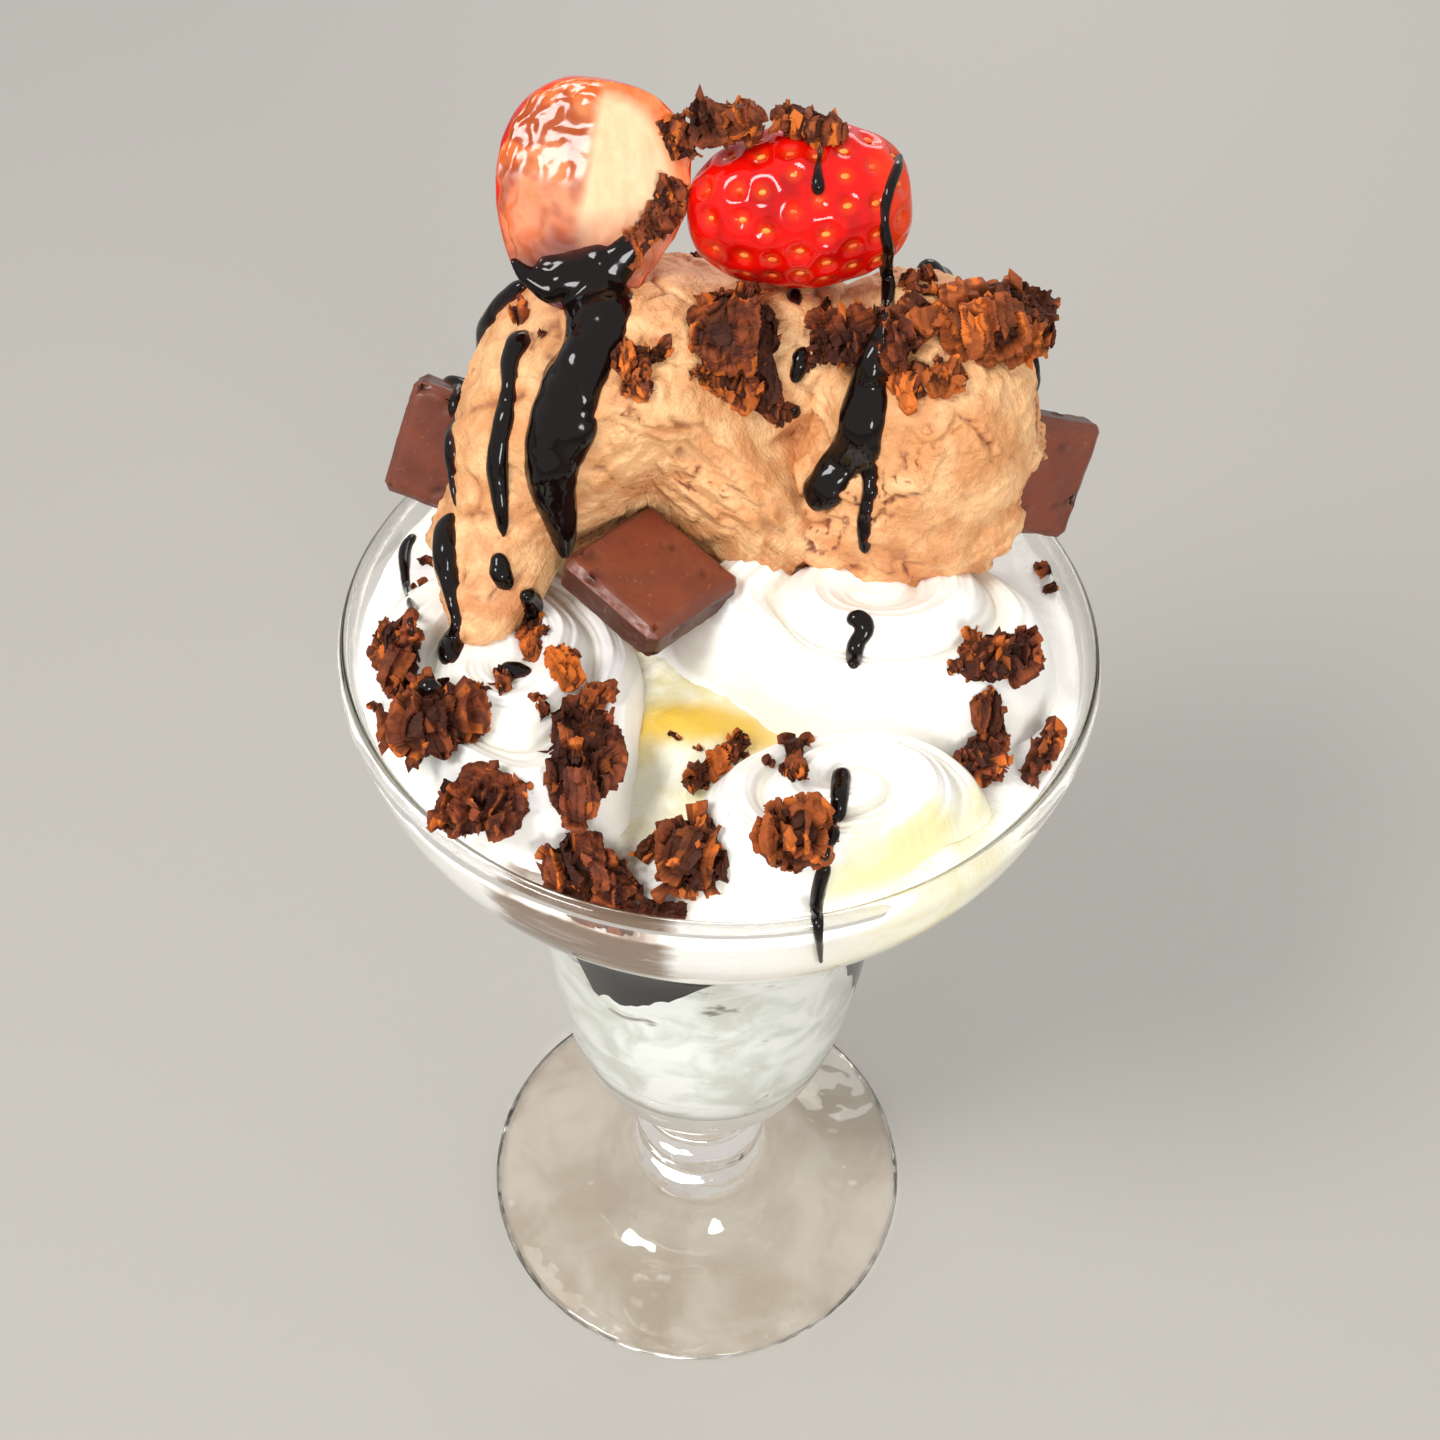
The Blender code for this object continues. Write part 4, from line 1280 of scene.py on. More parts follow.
@dataclass(frozen=True)
class SquarePose:
    """How a chocolate square lies, in millimetres and degrees, and how it was pushed in."""

    centre: tuple[float, float, float]
    tilt: tuple[float, float, float]
    side: float = 18.5 * MM
    thickness: float = 6 * MM
    lane: tuple[float, float, float] = (0.0, -0.66, 0.75)
    depth: float = 17 * MM

    def swept(self, points: Points, room: float) -> Points:
        """Which points lie in the space that the square swept as it was pushed in.

        Args:
            points: The points, in metres.
            room: How much wider than the square the space is, on each side, in metres.

        Returns:
            True for each point in that space.
        """
        turn = np.array(turned(self.tilt).to_3x3())
        local = (points - np.array(self.centre) * MM) @ turn
        run = np.array(self.lane) @ turn
        half = np.array([self.side, self.side, self.thickness]) / 2 + room
        near = np.full(len(points), -np.inf)
        far = np.full(len(points), np.inf)
        for i in range(3):
            one, two = (local[:, i] - half[i]) / run[i], (local[:, i] + half[i]) / run[i]
            near = np.maximum(near, np.minimum(one, two))
            far = np.minimum(far, np.maximum(one, two))
        return (near <= far) & (far >= 0) & (near <= self.depth)


def turned(tilt: Sequence[float]) -> Matrix:
    """A turn by these degrees about X, then Y, then Z."""
    whole = Matrix.Identity(4)
    for angle, axis in zip(reversed(tilt), "ZYX"):
        whole @= Matrix.Rotation(math.radians(angle), 4, axis)
    return whole


@dataclass(frozen=True)
class Scoop:
    """A scoop of ice cream: lumps as centres and radii in millimetres, melted together.

    soft_rooms holds how far round the pushed square the scoop gives way, in millimetres, and
    the share of the push that it follows there.
    """

    name: str
    lumps: tuple[tuple[tuple[float, float, float], tuple[float, float, float]], ...]
    melt: float = 5.5 * MM
    seed: float = 1.0
    square: Optional[SquarePose] = None
    soft_rooms: tuple[tuple[float, float], ...] = (
        (0.3, 1.0), (1.5, 0.93), (3.0, 0.75), (4.5, 0.5), (6.0, 0.28), (8.0, 0.1),
    )

    def field(self, points: Points) -> Points:
        """Below 0 inside the melted lumps and above 0 outside, roughly in metres."""
        total = None
        for centre, radii in self.lumps:
            middle, size = np.array(centre) * MM, np.array(radii) * MM
            away = (np.linalg.norm((points - middle) / size, axis=-1) - 1) * size.min()
            if total is None:
                total = away
            else:
                mix = np.clip(0.5 + 0.5 * (total - away) / self.melt, 0, 1)
                total = total * (1 - mix) + away * mix - self.melt * mix * (1 - mix)
        return total

    def reach(self, rays: Points, furthest: float = 60 * MM) -> Points:
        """How far along each ray from the first lump's centre the surface lies."""
        origin = np.array(self.lumps[0][0]) * MM
        steps = np.linspace(furthest, 0, 90)
        low = np.zeros(len(rays))
        high = np.full(len(rays), furthest)
        found = np.zeros(len(rays), bool)
        for outer, inner in zip(steps[:-1], steps[1:]):
            inside = self.field(origin + rays * inner) < 0
            fresh = inside & ~found
            low[fresh], high[fresh] = inner, outer
            found |= inside
        for _ in range(14):
            middle = (low + high) / 2
            inside = self.field(origin + rays * middle[:, None]) < 0
            low = np.where(inside, middle, low)
            high = np.where(inside, high, middle)
        return (low + high) / 2

    def skin(self, detail: int = 7) -> Skin:
        """The torn, grainy surface.

        Args:
            detail: How finely the surface is split.

        Returns:
            Its skin, with how deep in a crease each point lies.
        """
        shape = ball(detail)
        origin = np.array(self.lumps[0][0]) * MM
        rays = unit(shape.points)
        shape.points = origin + rays * self.reach(rays)[:, None]
        out = shape.normals()
        p = shape.points
        bent = p + 2.5 * MM * np.stack([fractal(p, 9 * MM, 2, s) for s in (1, 2, 3)], -1)
        low = 0.35 * np.clip((192 * MM - p[:, 2]) / (14 * MM), -1, 1)
        patch = np.clip(0.4 + 1.3 * fractal(p, 15 * MM, 2, self.seed + 2) + low, 0, 1)
        broad = 1.0 * fractal(p, 14 * MM, 3, self.seed)
        level = 2.4 * fractal(bent * [0.8, 0.8, 1.25], 8 * MM, 4, self.seed + 1)
        step = level - np.floor(level)
        terrace = np.floor(level) + np.clip((step - 0.3) / 0.35, 0, 1)
        tear = np.clip(1 - np.abs(step - 0.42) / 0.2, 0, 1)
        broken = np.clip(0.5 + 2.2 * fractal(p, 7 * MM, 2, self.seed + 5), 0, 1)
        crack = cracks(bent * [1, 1, 0.7], 15 * MM, 0.07, self.seed) * (1 - 0.6 * patch) * broken
        grain = fractal(p, 1.6 * MM, 3, self.seed + 3) * (0.12 + 0.22 * patch)
        height = broad + (0.25 + 0.85 * patch) * terrace + grain - 0.9 * crack
        shape.points = p + out * height[:, None] * MM
        if self.square is not None:
            self.press(shape, origin, self.square)
        # hollow: how deep in a crack, tear or low grain each point lies, where the finish paints
        # shade
        hollow = 0.7 * crack + 0.9 * tear * patch + np.clip(-1.3 * grain, 0, 0.45)
        shape.values["hollow"] = np.clip(hollow, 0, 1)
        return shape

    def press(
        self, shape: Skin, origin: Points, square: SquarePose, step: float = 0.3 * MM
    ) -> None:
        """Presses the surface back round the square, most where the square was pushed in.

        Args:
            shape: The scoop's skin, which is changed.
            origin: The place that the surface is pressed towards.
            square: The square and the way it was pushed.
            step: How far the surface moves at a time, in metres.
        """
        rays = unit(shape.points - origin)
        deepest = np.zeros(len(rays))
        for room, share in self.soft_rooms:
            moved = np.zeros(len(rays))
            for _ in range(60):
                caught = square.swept(shape.points - rays * moved[:, None], room * MM)
                if not caught.any():
                    break
                moved[caught] += step
            deepest = np.maximum(deepest, share * moved)
        shape.points = shape.points - rays * deepest[:, None]

    def build(self) -> Skin:
        """Makes the scoop and returns its skin."""
        skin = self.skin()
        name = "chocolate_scoop_" + self.name
        dress("ice_cream_" + self.name, skin, ChocolateIce(), Slot.SCOOP, (name,))
        return skin


def scoops() -> tuple[Scoop, Scoop]:
    """The left scoop, with its melted skirt, and the right one."""
    left = Scoop(
        "left",
        (
            ((-14, 17, 195), (24, 23, 23)),
            ((-32, 7, 192), (8, 10, 12)),
            ((-34, -3, 183), (7.5, 9, 8)),
            ((-33, -10, 179), (5, 6, 5)),
            ((-8, 1, 186), (17, 10, 9)),
            ((8, 21, 205), (13, 13, 11)),
            ((3, 5, 186), (9, 9, 11)),
        ),
        seed=1.0,
        square=SquarePose((-10.5, -6, 183.2), (10, 4, 50)),
    )
    right = Scoop(
        "right",
        (
            ((26, 18, 196), (19, 20, 21)),
            ((26, 9, 185), (16, 12, 10)),
            ((13, 9, 186), (7, 9, 11)),
        ),
        seed=7.0,
    )
    return left, right


@dataclass(frozen=True)
class Squares:
    """The three chocolate squares, each in its node's place."""

    names: tuple[str, ...] = ("front", "left", "right")
    pit: float = 0.7 * MM
    splits: int = 4

    def build(self) -> list[Skin]:
        """Makes the squares and returns their skins."""
        skins = []
        for i, name in enumerate(self.names):
            node = "chocolate_square_" + name
            skin = node_skin(node, self.splits, 0.0)
            out = skin.normals()
            p = skin.points
            middle = p.mean(0)
            _, _, axes = np.linalg.svd(p[:: max(1, len(p) // 800)] - middle, full_matrices=False)
            thin = axes[2]
            flat = np.abs(unit(out) @ thin)
            wear_and_shade = 0.16 * fractal(p, 5 * MM, 3, i + 1) + 0.1 * fractal(p, 1.3 * MM, 2, i + 3)
            pits = np.clip(fractal(p, 2.4 * MM, 1, i + 6) * 5 - 2.1, 0, 1)
            skin.points = p + out * (wear_and_shade * MM - self.pit * pits)[:, None]
            # rim: 1 on the side faces and in the pits, where the finish paints shade
            skin.values["rim"] = np.clip(1.15 - 1.3 * flat + pits, 0, 1)
            dress(node + "_dressed", skin, Chocolate(), Slot.CHOCOLATE, (node,))
            skins.append(skin)
        return skins


@dataclass(frozen=True)
class Berry:
    """A strawberry along its own Z, tip down, placed in millimetres and turned in degrees."""

    name: str
    place: tuple[float, float, float]
    turn: tuple[float, float, float]
    radius: float
    flatten: float = 1.0
    halved: bool = False
    taper: float = 0.78
    blunt: float = 0.45
    length: float = 30.5 * MM
    face: float = 1.0 * MM
    dimple: float = 1.35 * MM
    seed_gap: float = 5.0 * MM
    rings: int = 120
    segments: int = 168

    def matrix(self) -> Matrix:
        """Where the berry lies."""
        return Matrix.Translation(Vector(self.place) * MM) @ turned(self.turn)

    def width(self, t: Points) -> Points:
        """The radius at shares of the length from the leaf end."""
        swell = np.sin(math.pi * np.clip(t, 0, 1) ** self.taper)
        return self.radius * MM * swell**self.blunt

    def seeds(self) -> Points:
        """Where the seeds sit, as shares of the length from the tip and angles round the berry."""
        rows = []
        rng = random.Random(5)
        for i, share in enumerate(np.linspace(0.1, 0.94, 8)):
            around = TAU * self.width(np.array([1 - share]))[0]
            count = max(4, round(around / self.seed_gap))
            for j in range(count):
                angle = TAU * (j + 0.5 * (i % 2)) / count + rng.uniform(-0.08, 0.08)
                rows.append((share + rng.uniform(-0.012, 0.012), angle))
        return np.array(rows)

    def seat(self, share: float, angle: float) -> tuple[Vector, Vector]:
        """A place on the skin in the berry's own frame, and its outward direction."""
        ends = []
        for t in (share - 0.01, share + 0.01, share):
            r = float(self.width(np.array([1 - t]))[0])
            across, deep = r * math.cos(angle), r * math.sin(angle) * self.flatten
            ends.append(Vector((across, deep, (t - 0.5) * self.length)))
        run = ends[1] - ends[0]
        sweep = Vector((-math.sin(angle), math.cos(angle) * self.flatten, 0))
        return ends[2], sweep.cross(run).normalized()

    def skin(self) -> Skin:
        """The dimpled body, with the values that its finish reads."""
        share = (1 - np.cos(math.pi * np.arange(1, self.rings) / self.rings)) / 2
        angles = TAU * np.arange(self.segments) / self.segments
        a, t = np.meshgrid(angles, share)
        r = self.width(1 - t)
        points = np.stack(
            [r * np.cos(a), r * np.sin(a) * self.flatten, (t - 0.5) * self.length], -1
        )
        flat = points.reshape(-1, 3)
        dimple = np.zeros(len(flat))
        for seed_share, seed_angle in self.seeds():
            middle, _ = self.seat(seed_share, seed_angle)
            away = np.linalg.norm(flat - np.array(middle), axis=1)
            dimple = np.maximum(dimple, np.exp(-((away / self.dimple) ** 2)))
        inward = unit(flat * [1, 1, 0.5])
        puff = 0.35 * fractal(flat, 9 * MM, 2, 3.0)
        flat = flat - inward * ((0.85 * dimple - puff) * MM)[:, None]
        cut = np.zeros(len(flat))
        if self.halved:
            front = flat[:, 1] < -self.face
            cut = front.astype(float)
            ripple = 0.25 * fractal(flat, 5 * MM, 3, 6.0) * MM
            flat[front, 1] = -self.face + ripple[front]
        end = self.length / 2
        skin = capped(flat.reshape(points.shape), (0, 0, -end), (0, 0, end))
        x, z = flat[:, 0] / MM, flat[:, 2] / MM
        edge = np.hypot(x, z * 0.8) / 12.0
        left = np.clip((-x - 0.6) / 1.6, 0, 1)
        lower = np.clip((-z - 1.5 + 0.4 * x) / 8, 0, 1)
        upper = np.clip((x - 5) / 5, 0, 1) * np.clip((z - 4) / 8, 0, 1)
        rim = np.clip((edge - 0.84) / 0.14, 0, 1)
        blush = np.clip(rim + 0.75 * left + 0.5 * upper + 0.8 * lower, 0, 1)
        drenched = np.clip((-z - 1 + 0.5 * x) / 6, 0, 1) * np.clip((3 - x) / 4, 0.3, 1)
        # shoulder: where the orange painted highlight lies, towards the leaf end
        shoulder = np.clip((z - 9) / 8, 0, 1) * 0.7
        for key, value in (
            ("cut", cut),
            ("dimple", np.clip(dimple - 0.3, 0, 1) * (1 - cut) * 0.6),
            ("blush", blush),
            ("syrup", np.maximum(left, 0.9 * lower) * cut),
            ("wet", left * cut * np.clip((z + 0.5) / 4, 0.25, 1)),
            ("drenched", cut * drenched),
            ("shoulder", shoulder),
        ):
            skin.values[key] = np.concatenate([[0.0], value, [0.0]])
        return skin.moved(self.matrix())

    def seed_skin(self) -> Skin:
        """All the seeds, each a small pointed grain in its dimple."""
        grains = []
        for share, angle in self.seeds():
            middle, out = self.seat(share, angle)
            if self.halved and middle.y < 0.5 * MM:
                continue
            grain = ball(2)
            grain.points = grain.points * np.array([0.42, 0.3, 0.68]) * MM
            turn = out.to_track_quat("Y", "Z").to_matrix().to_4x4()
            seat = middle - out * 0.72 * MM
            grains.append(grain.moved(self.matrix() @ Matrix.Translation(seat) @ turn))
        return joined(grains)

    def build(self) -> Skin:
        """Makes the berry with its seeds and returns its skin."""
        skin = self.skin()
        dress(
            "berry_" + self.name, skin, BerrySkin(), Slot.STRAWBERRY, ("strawberry_" + self.name,)
        )
        dress("berry_seeds_" + self.name, self.seed_skin(), Seed(), Slot.STRAWBERRY)
        return skin


def berries() -> tuple[Berry, Berry]:
    """The half strawberry, leaning back with its cut face forward, and the whole one."""
    half = Berry("half", (-20, 19.5, 229), (-22, 14, 8), 13.1, halved=True)
    whole = Berry("whole", (8, 23, 226.8), (0, 84, 6), 11.2, flatten=0.95, taper=0.86, blunt=0.38)
    return half, whole


def splinter(rng: random.Random, place: Vector, lean: Vector, size: float) -> Skin:
    """A small broken splinter.

    Args:
        rng: Where its chances come from.
        place: Where it sits.
        lean: The direction that it points along.
        size: How long it is, in metres.

    Returns:
        Its skin, a thin double pyramid with uneven corners.
    """
    turn = lean.normalized().to_track_quat("Z", "X").to_matrix().to_4x4()
    sides = 5
    start = rng.uniform(0, TAU)
    ring = []
    for i in range(sides):
        angle = start + TAU * i / sides
        r = size * rng.uniform(0.13, 0.3)
        ring.append((r * math.cos(angle), r * math.sin(angle), size * rng.uniform(-0.2, 0.2)))
    skin = capped(
        np.array([ring]), (0, 0, -size * 0.5), (size * rng.uniform(-0.1, 0.1), 0, size * 0.5)
    )
    return skin.moved(Matrix.Translation(place) @ turn)


@dataclass(frozen=True)
class Brownie:
    """The broken brownie, one piece for each node."""

    seed: int = 11
    splinters: int = 22
    splinter_length: float = 2.6 * MM
    deepest: float = 1.0 * MM
    full_span: float = 8 * MM
    splits: int = 4
    nodes: tuple[str, ...] = (
        "left_rim",
        "left_upper",
        "left_lower",
        "left_inner",
        "front_rim",
        "front_middle",
        "front_right",
        "right_upper",
        "right_lower",
        "right_rim",
        "scoop_left",
        "scoop_middle",
        "scoop_right",
        "crown_left",
        "crown_right",
    )
    # pieces that take more of the orange painted highlight
    highlit_pieces: tuple[str, ...] = ("front_right", "front_middle", "scoop_right")

    def chunk(self, skin: Skin, number: int, depth: float, splinters: int, size: float) -> Skin:
        """Tears a plain lump's surface into fibres and steps.

        Args:
            skin: The lump.
            number: Which lump it is, so that no two are alike.
            depth: How deep the tears are, in metres.
            splinters: How many splinters stand on it.
            size: How long they are, in metres.

        Returns:
            The torn lump with its splinters, with how deep each point lies for painted shade and
            how much orange painted highlight it takes.
        """
        rng = random.Random(self.seed * 100 + number)
        out = skin.normals()
        p = skin.points
        grain = unit(np.array([rng.uniform(-0.45, 0.45), 0.62, 0.75]))
        side = unit(np.cross(grain, [rng.uniform(-0.3, 0.3), -0.75, 0.62]))
        basis = np.stack([side, np.cross(grain, side), grain], -1)
        bent = p + 0.6 * MM * np.stack([fractal(p, 4 * MM, 2, s) for s in (4, 5, 6)], -1)
        local = bent @ basis
        scale = depth / MM
        fibre = np.array([1.3, 1.5, 8.5]) * MM * (0.4 + 0.6 * scale)
        fibres = blocks(local, fibre, number) - 0.5
        flakes = blocks(local, fibre * [2.6, 2.6, 1.3], number + 40) - 0.5
        rough = fractal(p, 1.8 * MM, 3, number)
        height = 1.1 * fibres + 1.5 * flakes + 0.22 * rough
        torn = p + out * (height * depth)[:, None]
        # hollow: how low each point lies, where the finish paints shade
        hollow = np.clip(-0.8 * height - 0.1, 0, 0.9)
        # torn value: random patches that take the orange painted highlight
        fresh = np.clip((blocks(local, fibre * [0.8, 0.8, 0.6], number + 80) - 0.45) * 3, 0, 1)
        patch = np.clip(0.62 + 1.6 * fractal(p, 6 * MM, 2, number + 9), 0.06, 1)
        body = Skin(torn, skin.faces, {"hollow": hollow, "torn": fresh * patch})
        parts = [body]
        for _ in range(splinters):
            i = rng.randrange(len(p))
            lean = grain * rng.choice((-1, 1)) + 0.55 * out[i]
            lean = lean + [rng.uniform(-0.4, 0.4) for _ in range(3)]
            bit = splinter(rng, Vector(torn[i]), Vector(lean), size * rng.uniform(0.6, 1.5))
            # each splinter takes a random share of painted shade and of orange painted highlight
            bit.values["hollow"] = np.full(len(bit.points), rng.uniform(0, 0.25))
            bit.values["torn"] = np.full(len(bit.points), rng.choice((0, 0, 0.3, 0.9)))
            parts.append(bit)
        return joined(parts)

    def build(self) -> list[Skin]:
        """Makes the large pieces and returns their skins."""
        skins = []
        for number, name in enumerate(self.nodes):
            node = "brownie_" + name
            low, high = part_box(node)
            span = min(b - a for a, b in zip(low, high))
            depth = min(1.0, span / self.full_span) * self.deepest
            lump = node_skin(node, self.splits, 0.05)
            skin = self.chunk(lump, number, depth, self.splinters, self.splinter_length)
            # more orange painted highlight on these pieces
            if name in self.highlit_pieces:
                skin.values["torn"] = np.clip(1.7 * skin.values["torn"] + 0.22, 0, 1)
            dress("broken_" + node, skin, BrownieCrumb(), Slot.BROWNIE, (node,), crisp=True)
            skins.append(skin)
        return skins


@dataclass(frozen=True)
class Patch:
    """Loose crumbs about one pixel of the photograph: how many, how far and how large."""

    u: float
    v: float
    spread: float
    count: int
    size: float


@dataclass(frozen=True)
class Shard:
    """A flat broken shard between two pixels: its ends, its width in millimetres and its colour."""

    start: tuple[float, float]
    end: tuple[float, float]
    width: float
    # how much orange painted highlight the shard takes
    torn: float


@dataclass
class LooseCrumbs:
    """Small crumbs on the cream and the scoops, in one piece.

    scattered is how many places on the hidden side are tried, between the two scatter heights.
    """

    brownie: Brownie
    ground: Ground
    form: GlassForm
    seed: int = 23
    scattered: int = 24
    scatter_low: float = 163 * MM
    scatter_high: float = 214 * MM
    clearance: float = 0.15 * MM
    longest: float = 14 * MM
    first_shard: int = 300
    facets: int = 9
    patches: tuple[Patch, ...] = (
        Patch(636, 366, 14, 5, 5.2),
        Patch(622, 352, 10, 3, 3.6),
        Patch(646, 384, 8, 3, 3.4),
        Patch(910, 384, 10, 4, 4.6),
        Patch(945, 378, 10, 4, 4.2),
        Patch(914, 246, 7, 3, 4.0),
        Patch(908, 284, 9, 3, 4.4),
        Patch(1050, 574, 13, 5, 4.0),
        Patch(1068, 528, 6, 3, 2.8),
        Patch(660, 208, 12, 6, 3.6),
        Patch(674, 186, 8, 4, 3.2),
        Patch(795, 745, 5, 3, 3.2),
        Patch(796, 772, 9, 4, 3.6),
        Patch(732, 755, 9, 4, 4.4),
        Patch(705, 778, 9, 4, 4.2),
        Patch(561, 664, 9, 4, 4.0),
        Patch(540, 702, 8, 4, 3.4),
        Patch(574, 708, 8, 3, 3.2),
        Patch(600, 700, 11, 5, 4.2),
        Patch(470, 694, 11, 5, 3.8),
        Patch(505, 688, 12, 5, 3.4),
        Patch(532, 640, 10, 5, 3.8),
        Patch(376, 710, 8, 4, 3.4),
        Patch(405, 690, 12, 4, 3.4),
        Patch(420, 560, 6, 2, 2.6),
        Patch(423, 585, 6, 2, 2.6),
        Patch(955, 668, 8, 3, 3.0),
        Patch(1025, 655, 8, 3, 3.0),
        Patch(760, 400, 16, 6, 4.0),
        Patch(700, 372, 9, 4, 3.6),
        Patch(830, 330, 14, 6, 4.4),
        Patch(860, 320, 12, 5, 4.2),
        Patch(925, 290, 12, 5, 4.0),
        Patch(678, 130, 9, 5, 4.2),
        Patch(690, 112, 6, 3, 3.2),
        Patch(672, 738, 7, 3, 1.8),
        Patch(700, 752, 7, 3, 1.8),
        Patch(770, 764, 7, 3, 1.9),
    )
    shards: tuple[Shard, ...] = (
        Shard((684, 790), (748, 736), 3.4, 0.5),
        Shard((795, 738), (797, 784), 3.2, 0.2),
        Shard((552, 650), (574, 686), 4.0, 1.0),
        Shard((536, 620), (528, 664), 3.6, 0.4),
        Shard((600, 690), (590, 730), 4.0, 0.3),
        Shard((386, 622), (390, 668), 4.6, 0.1),
        Shard((455, 700), (478, 742), 4.4, 0.5),
        Shard((640, 345), (632, 398), 4.2, 0.7),
        Shard((612, 356), (640, 380), 3.6, 0.5),
        Shard((712, 296), (726, 352), 6.0, 0.2),
        Shard((700, 368), (748, 402), 5.0, 0.6),
        Shard((756, 340), (772, 408), 5.0, 0.1),
        Shard((734, 380), (786, 420), 4.6, 0.1),
        Shard((896, 372), (920, 404), 4.4, 0.7),
        Shard((930, 388), (962, 368), 4.4, 0.5),
        Shard((906, 236), (918, 296), 4.6, 0.9),
        Shard((902, 300), (940, 330), 4.8, 0.4),
        Shard((970, 632), (976, 670), 4.0, 0.9),
        Shard((1000, 668), (1032, 650), 3.2, 0.7),
        Shard((985, 690), (992, 752), 5.0, 0.05),
        Shard((640, 862), (662, 838), 3.6, 1.0),
        Shard((672, 178), (650, 236), 4.4, 0.1),
        Shard((650, 226), (622, 262), 4.0, 0.15),
        Shard((668, 116), (684, 158), 4.6, 0.1),
        Shard((556, 892), (600, 912), 5.0, 0.1),
        Shard((598, 908), (642, 920), 5.0, 0.2),
        Shard((638, 912), (688, 918), 4.6, 0.05),
        Shard((800, 800), (806, 850), 4.4, 0.9),
        Shard((778, 806), (784, 860), 4.2, 0.7),
    )

    def shard(self, shard: Shard, number: int) -> Optional[Skin]:
        """One shard, lying along what the camera sees between its two pixels.

        Args:
            shard: The shard.
            number: Which shard it is, so that no two are alike.

        Returns:
            Its skin, or None if nothing carries it.
        """
        steps = [self.ground.seen(*np.add(shard.start, np.subtract(shard.end, shard.start) * t))
                 for t in (0.0, 0.5, 1.0)]
        if any(step is None for step in steps):
            return None
        start, middle, end = (step[0] for step in steps)
        reach = min((end - start).length, self.longest) + 0.8 * MM
        run = (end - start).normalized()
        out = sum((step[1] for step in steps), Vector())
        side = run.cross(out).normalized()
        up = side.cross(run)
        slab = ball(5)
        corner = np.abs(slab.points).max(1, keepdims=True) ** -0.75
        size = np.array([shard.width * MM, reach, 0.5 * shard.width * MM]) / 2
        slab.points = slab.points * corner * size
        pose = Matrix((side, run, up)).transposed().to_4x4()
        slab.moved(Matrix.Translation(middle + up * 0.14 * shard.width * MM) @ pose)
        made = self.brownie.chunk(slab, self.first_shard + number, 0.62 * MM, 6, 1.6 * MM)
        # more orange painted highlight, as much as the shard asks
        made.values["torn"] = np.clip(made.values["torn"] + shard.torn * 0.8, 0, 1)
        return made

    def crumb(self, rng: random.Random, seat: tuple[Vector, Vector], size: float) -> Skin:
        """One crumb, sunk a little into what carries it.

        Args:
            rng: Where its chances come from.
            seat: The place that it lies on, and the outward direction there.
            size: How wide it is, in metres.

        Returns:
            Its skin.
        """
        place, out = seat
        lump = ball(3)
        planes = unit(np.array([[rng.gauss(0, 1) for _ in range(3)] for _ in range(self.facets)]))
        away = np.array([rng.uniform(0.55, 0.95) for _ in range(self.facets)])
        cuts = away / np.maximum(lump.points @ planes.T, 1e-6)
        stretch = [rng.uniform(0.7, 1.1), rng.uniform(0.6, 0.9), rng.uniform(0.5, 0.75)]
        reach = np.minimum(cuts.min(1), 1.15)[:, None]
        lump.points = lump.points * reach * np.array(stretch) * size / 2
        turn = out.to_track_quat("Z", "Y").to_matrix().to_4x4()
        spin = Matrix.Rotation(rng.uniform(0, TAU), 4, "Z")
        lump.moved(Matrix.Translation(place + out * 0.12 * size) @ turn @ spin)
        number = rng.randrange(1000)
        return self.brownie.chunk(lump, number, min(size / 7, 0.6 * MM), 4, 0.34 * size)

    def build(self) -> Skin:
        """Makes the crumbs and returns their skin."""
        rng = random.Random(self.seed)
        bits = []
        for patch in self.patches:
            for _ in range(patch.count):
                u = patch.u + rng.gauss(0, patch.spread * 0.6)
                v = patch.v + rng.gauss(0, patch.spread * 0.6)
                seat = self.ground.seen(u, v)
                if seat is not None:
                    size = patch.size * MM * rng.uniform(0.6, 1.25)
                    bits.append(self.crumb(rng, seat, size))
        middle = (0, 8 * MM, 182 * MM)
        for _ in range(self.scattered):
            seat = self.ground.toward(middle, rng.uniform(5, 175), rng.uniform(28, 80))
            if seat is not None and self.scatter_low < seat[0].z < self.scatter_high:
                bits.append(self.crumb(rng, seat, rng.uniform(2.2, 5) * MM))
        shards = [self.shard(shard, i) for i, shard in enumerate(self.shards)]
        skin = joined(bits + [shard for shard in shards if shard is not None])
        spread = np.hypot(skin.points[:, 0], skin.points[:, 1])
        held = skin.points[:, 2] < self.form.height
        room = self.form.inner(skin.points[:, 2]) - self.clearance
        shrink = np.where(held, np.minimum(1, room / np.maximum(spread, MM)), 1)
        skin.points[:, :2] *= shrink[:, None]
        dress("loose_crumbs", skin, BrownieCrumb("loose_brownie"), Slot.BROWNIE, crisp=True)
        return skin


@dataclass(frozen=True)
class Run:
    """A run of sauce through pixels of the photograph: u, v and width in pixels at each key."""

    name: str
    keys: tuple[tuple[float, float, float], ...]
    thickness: float = 1.5
    over_rim: bool = False


@dataclass(frozen=True)
class BackRun:
    """A run of sauce down a hidden side, about an upright line through the centre, in millimetres.

    keys holds the azimuth in degrees, the height and the width at each key.
    """

    centre: tuple[float, float]
    keys: tuple[tuple[float, float, float], ...]
    slope: float = 20.0
    thickness: float = 1.5


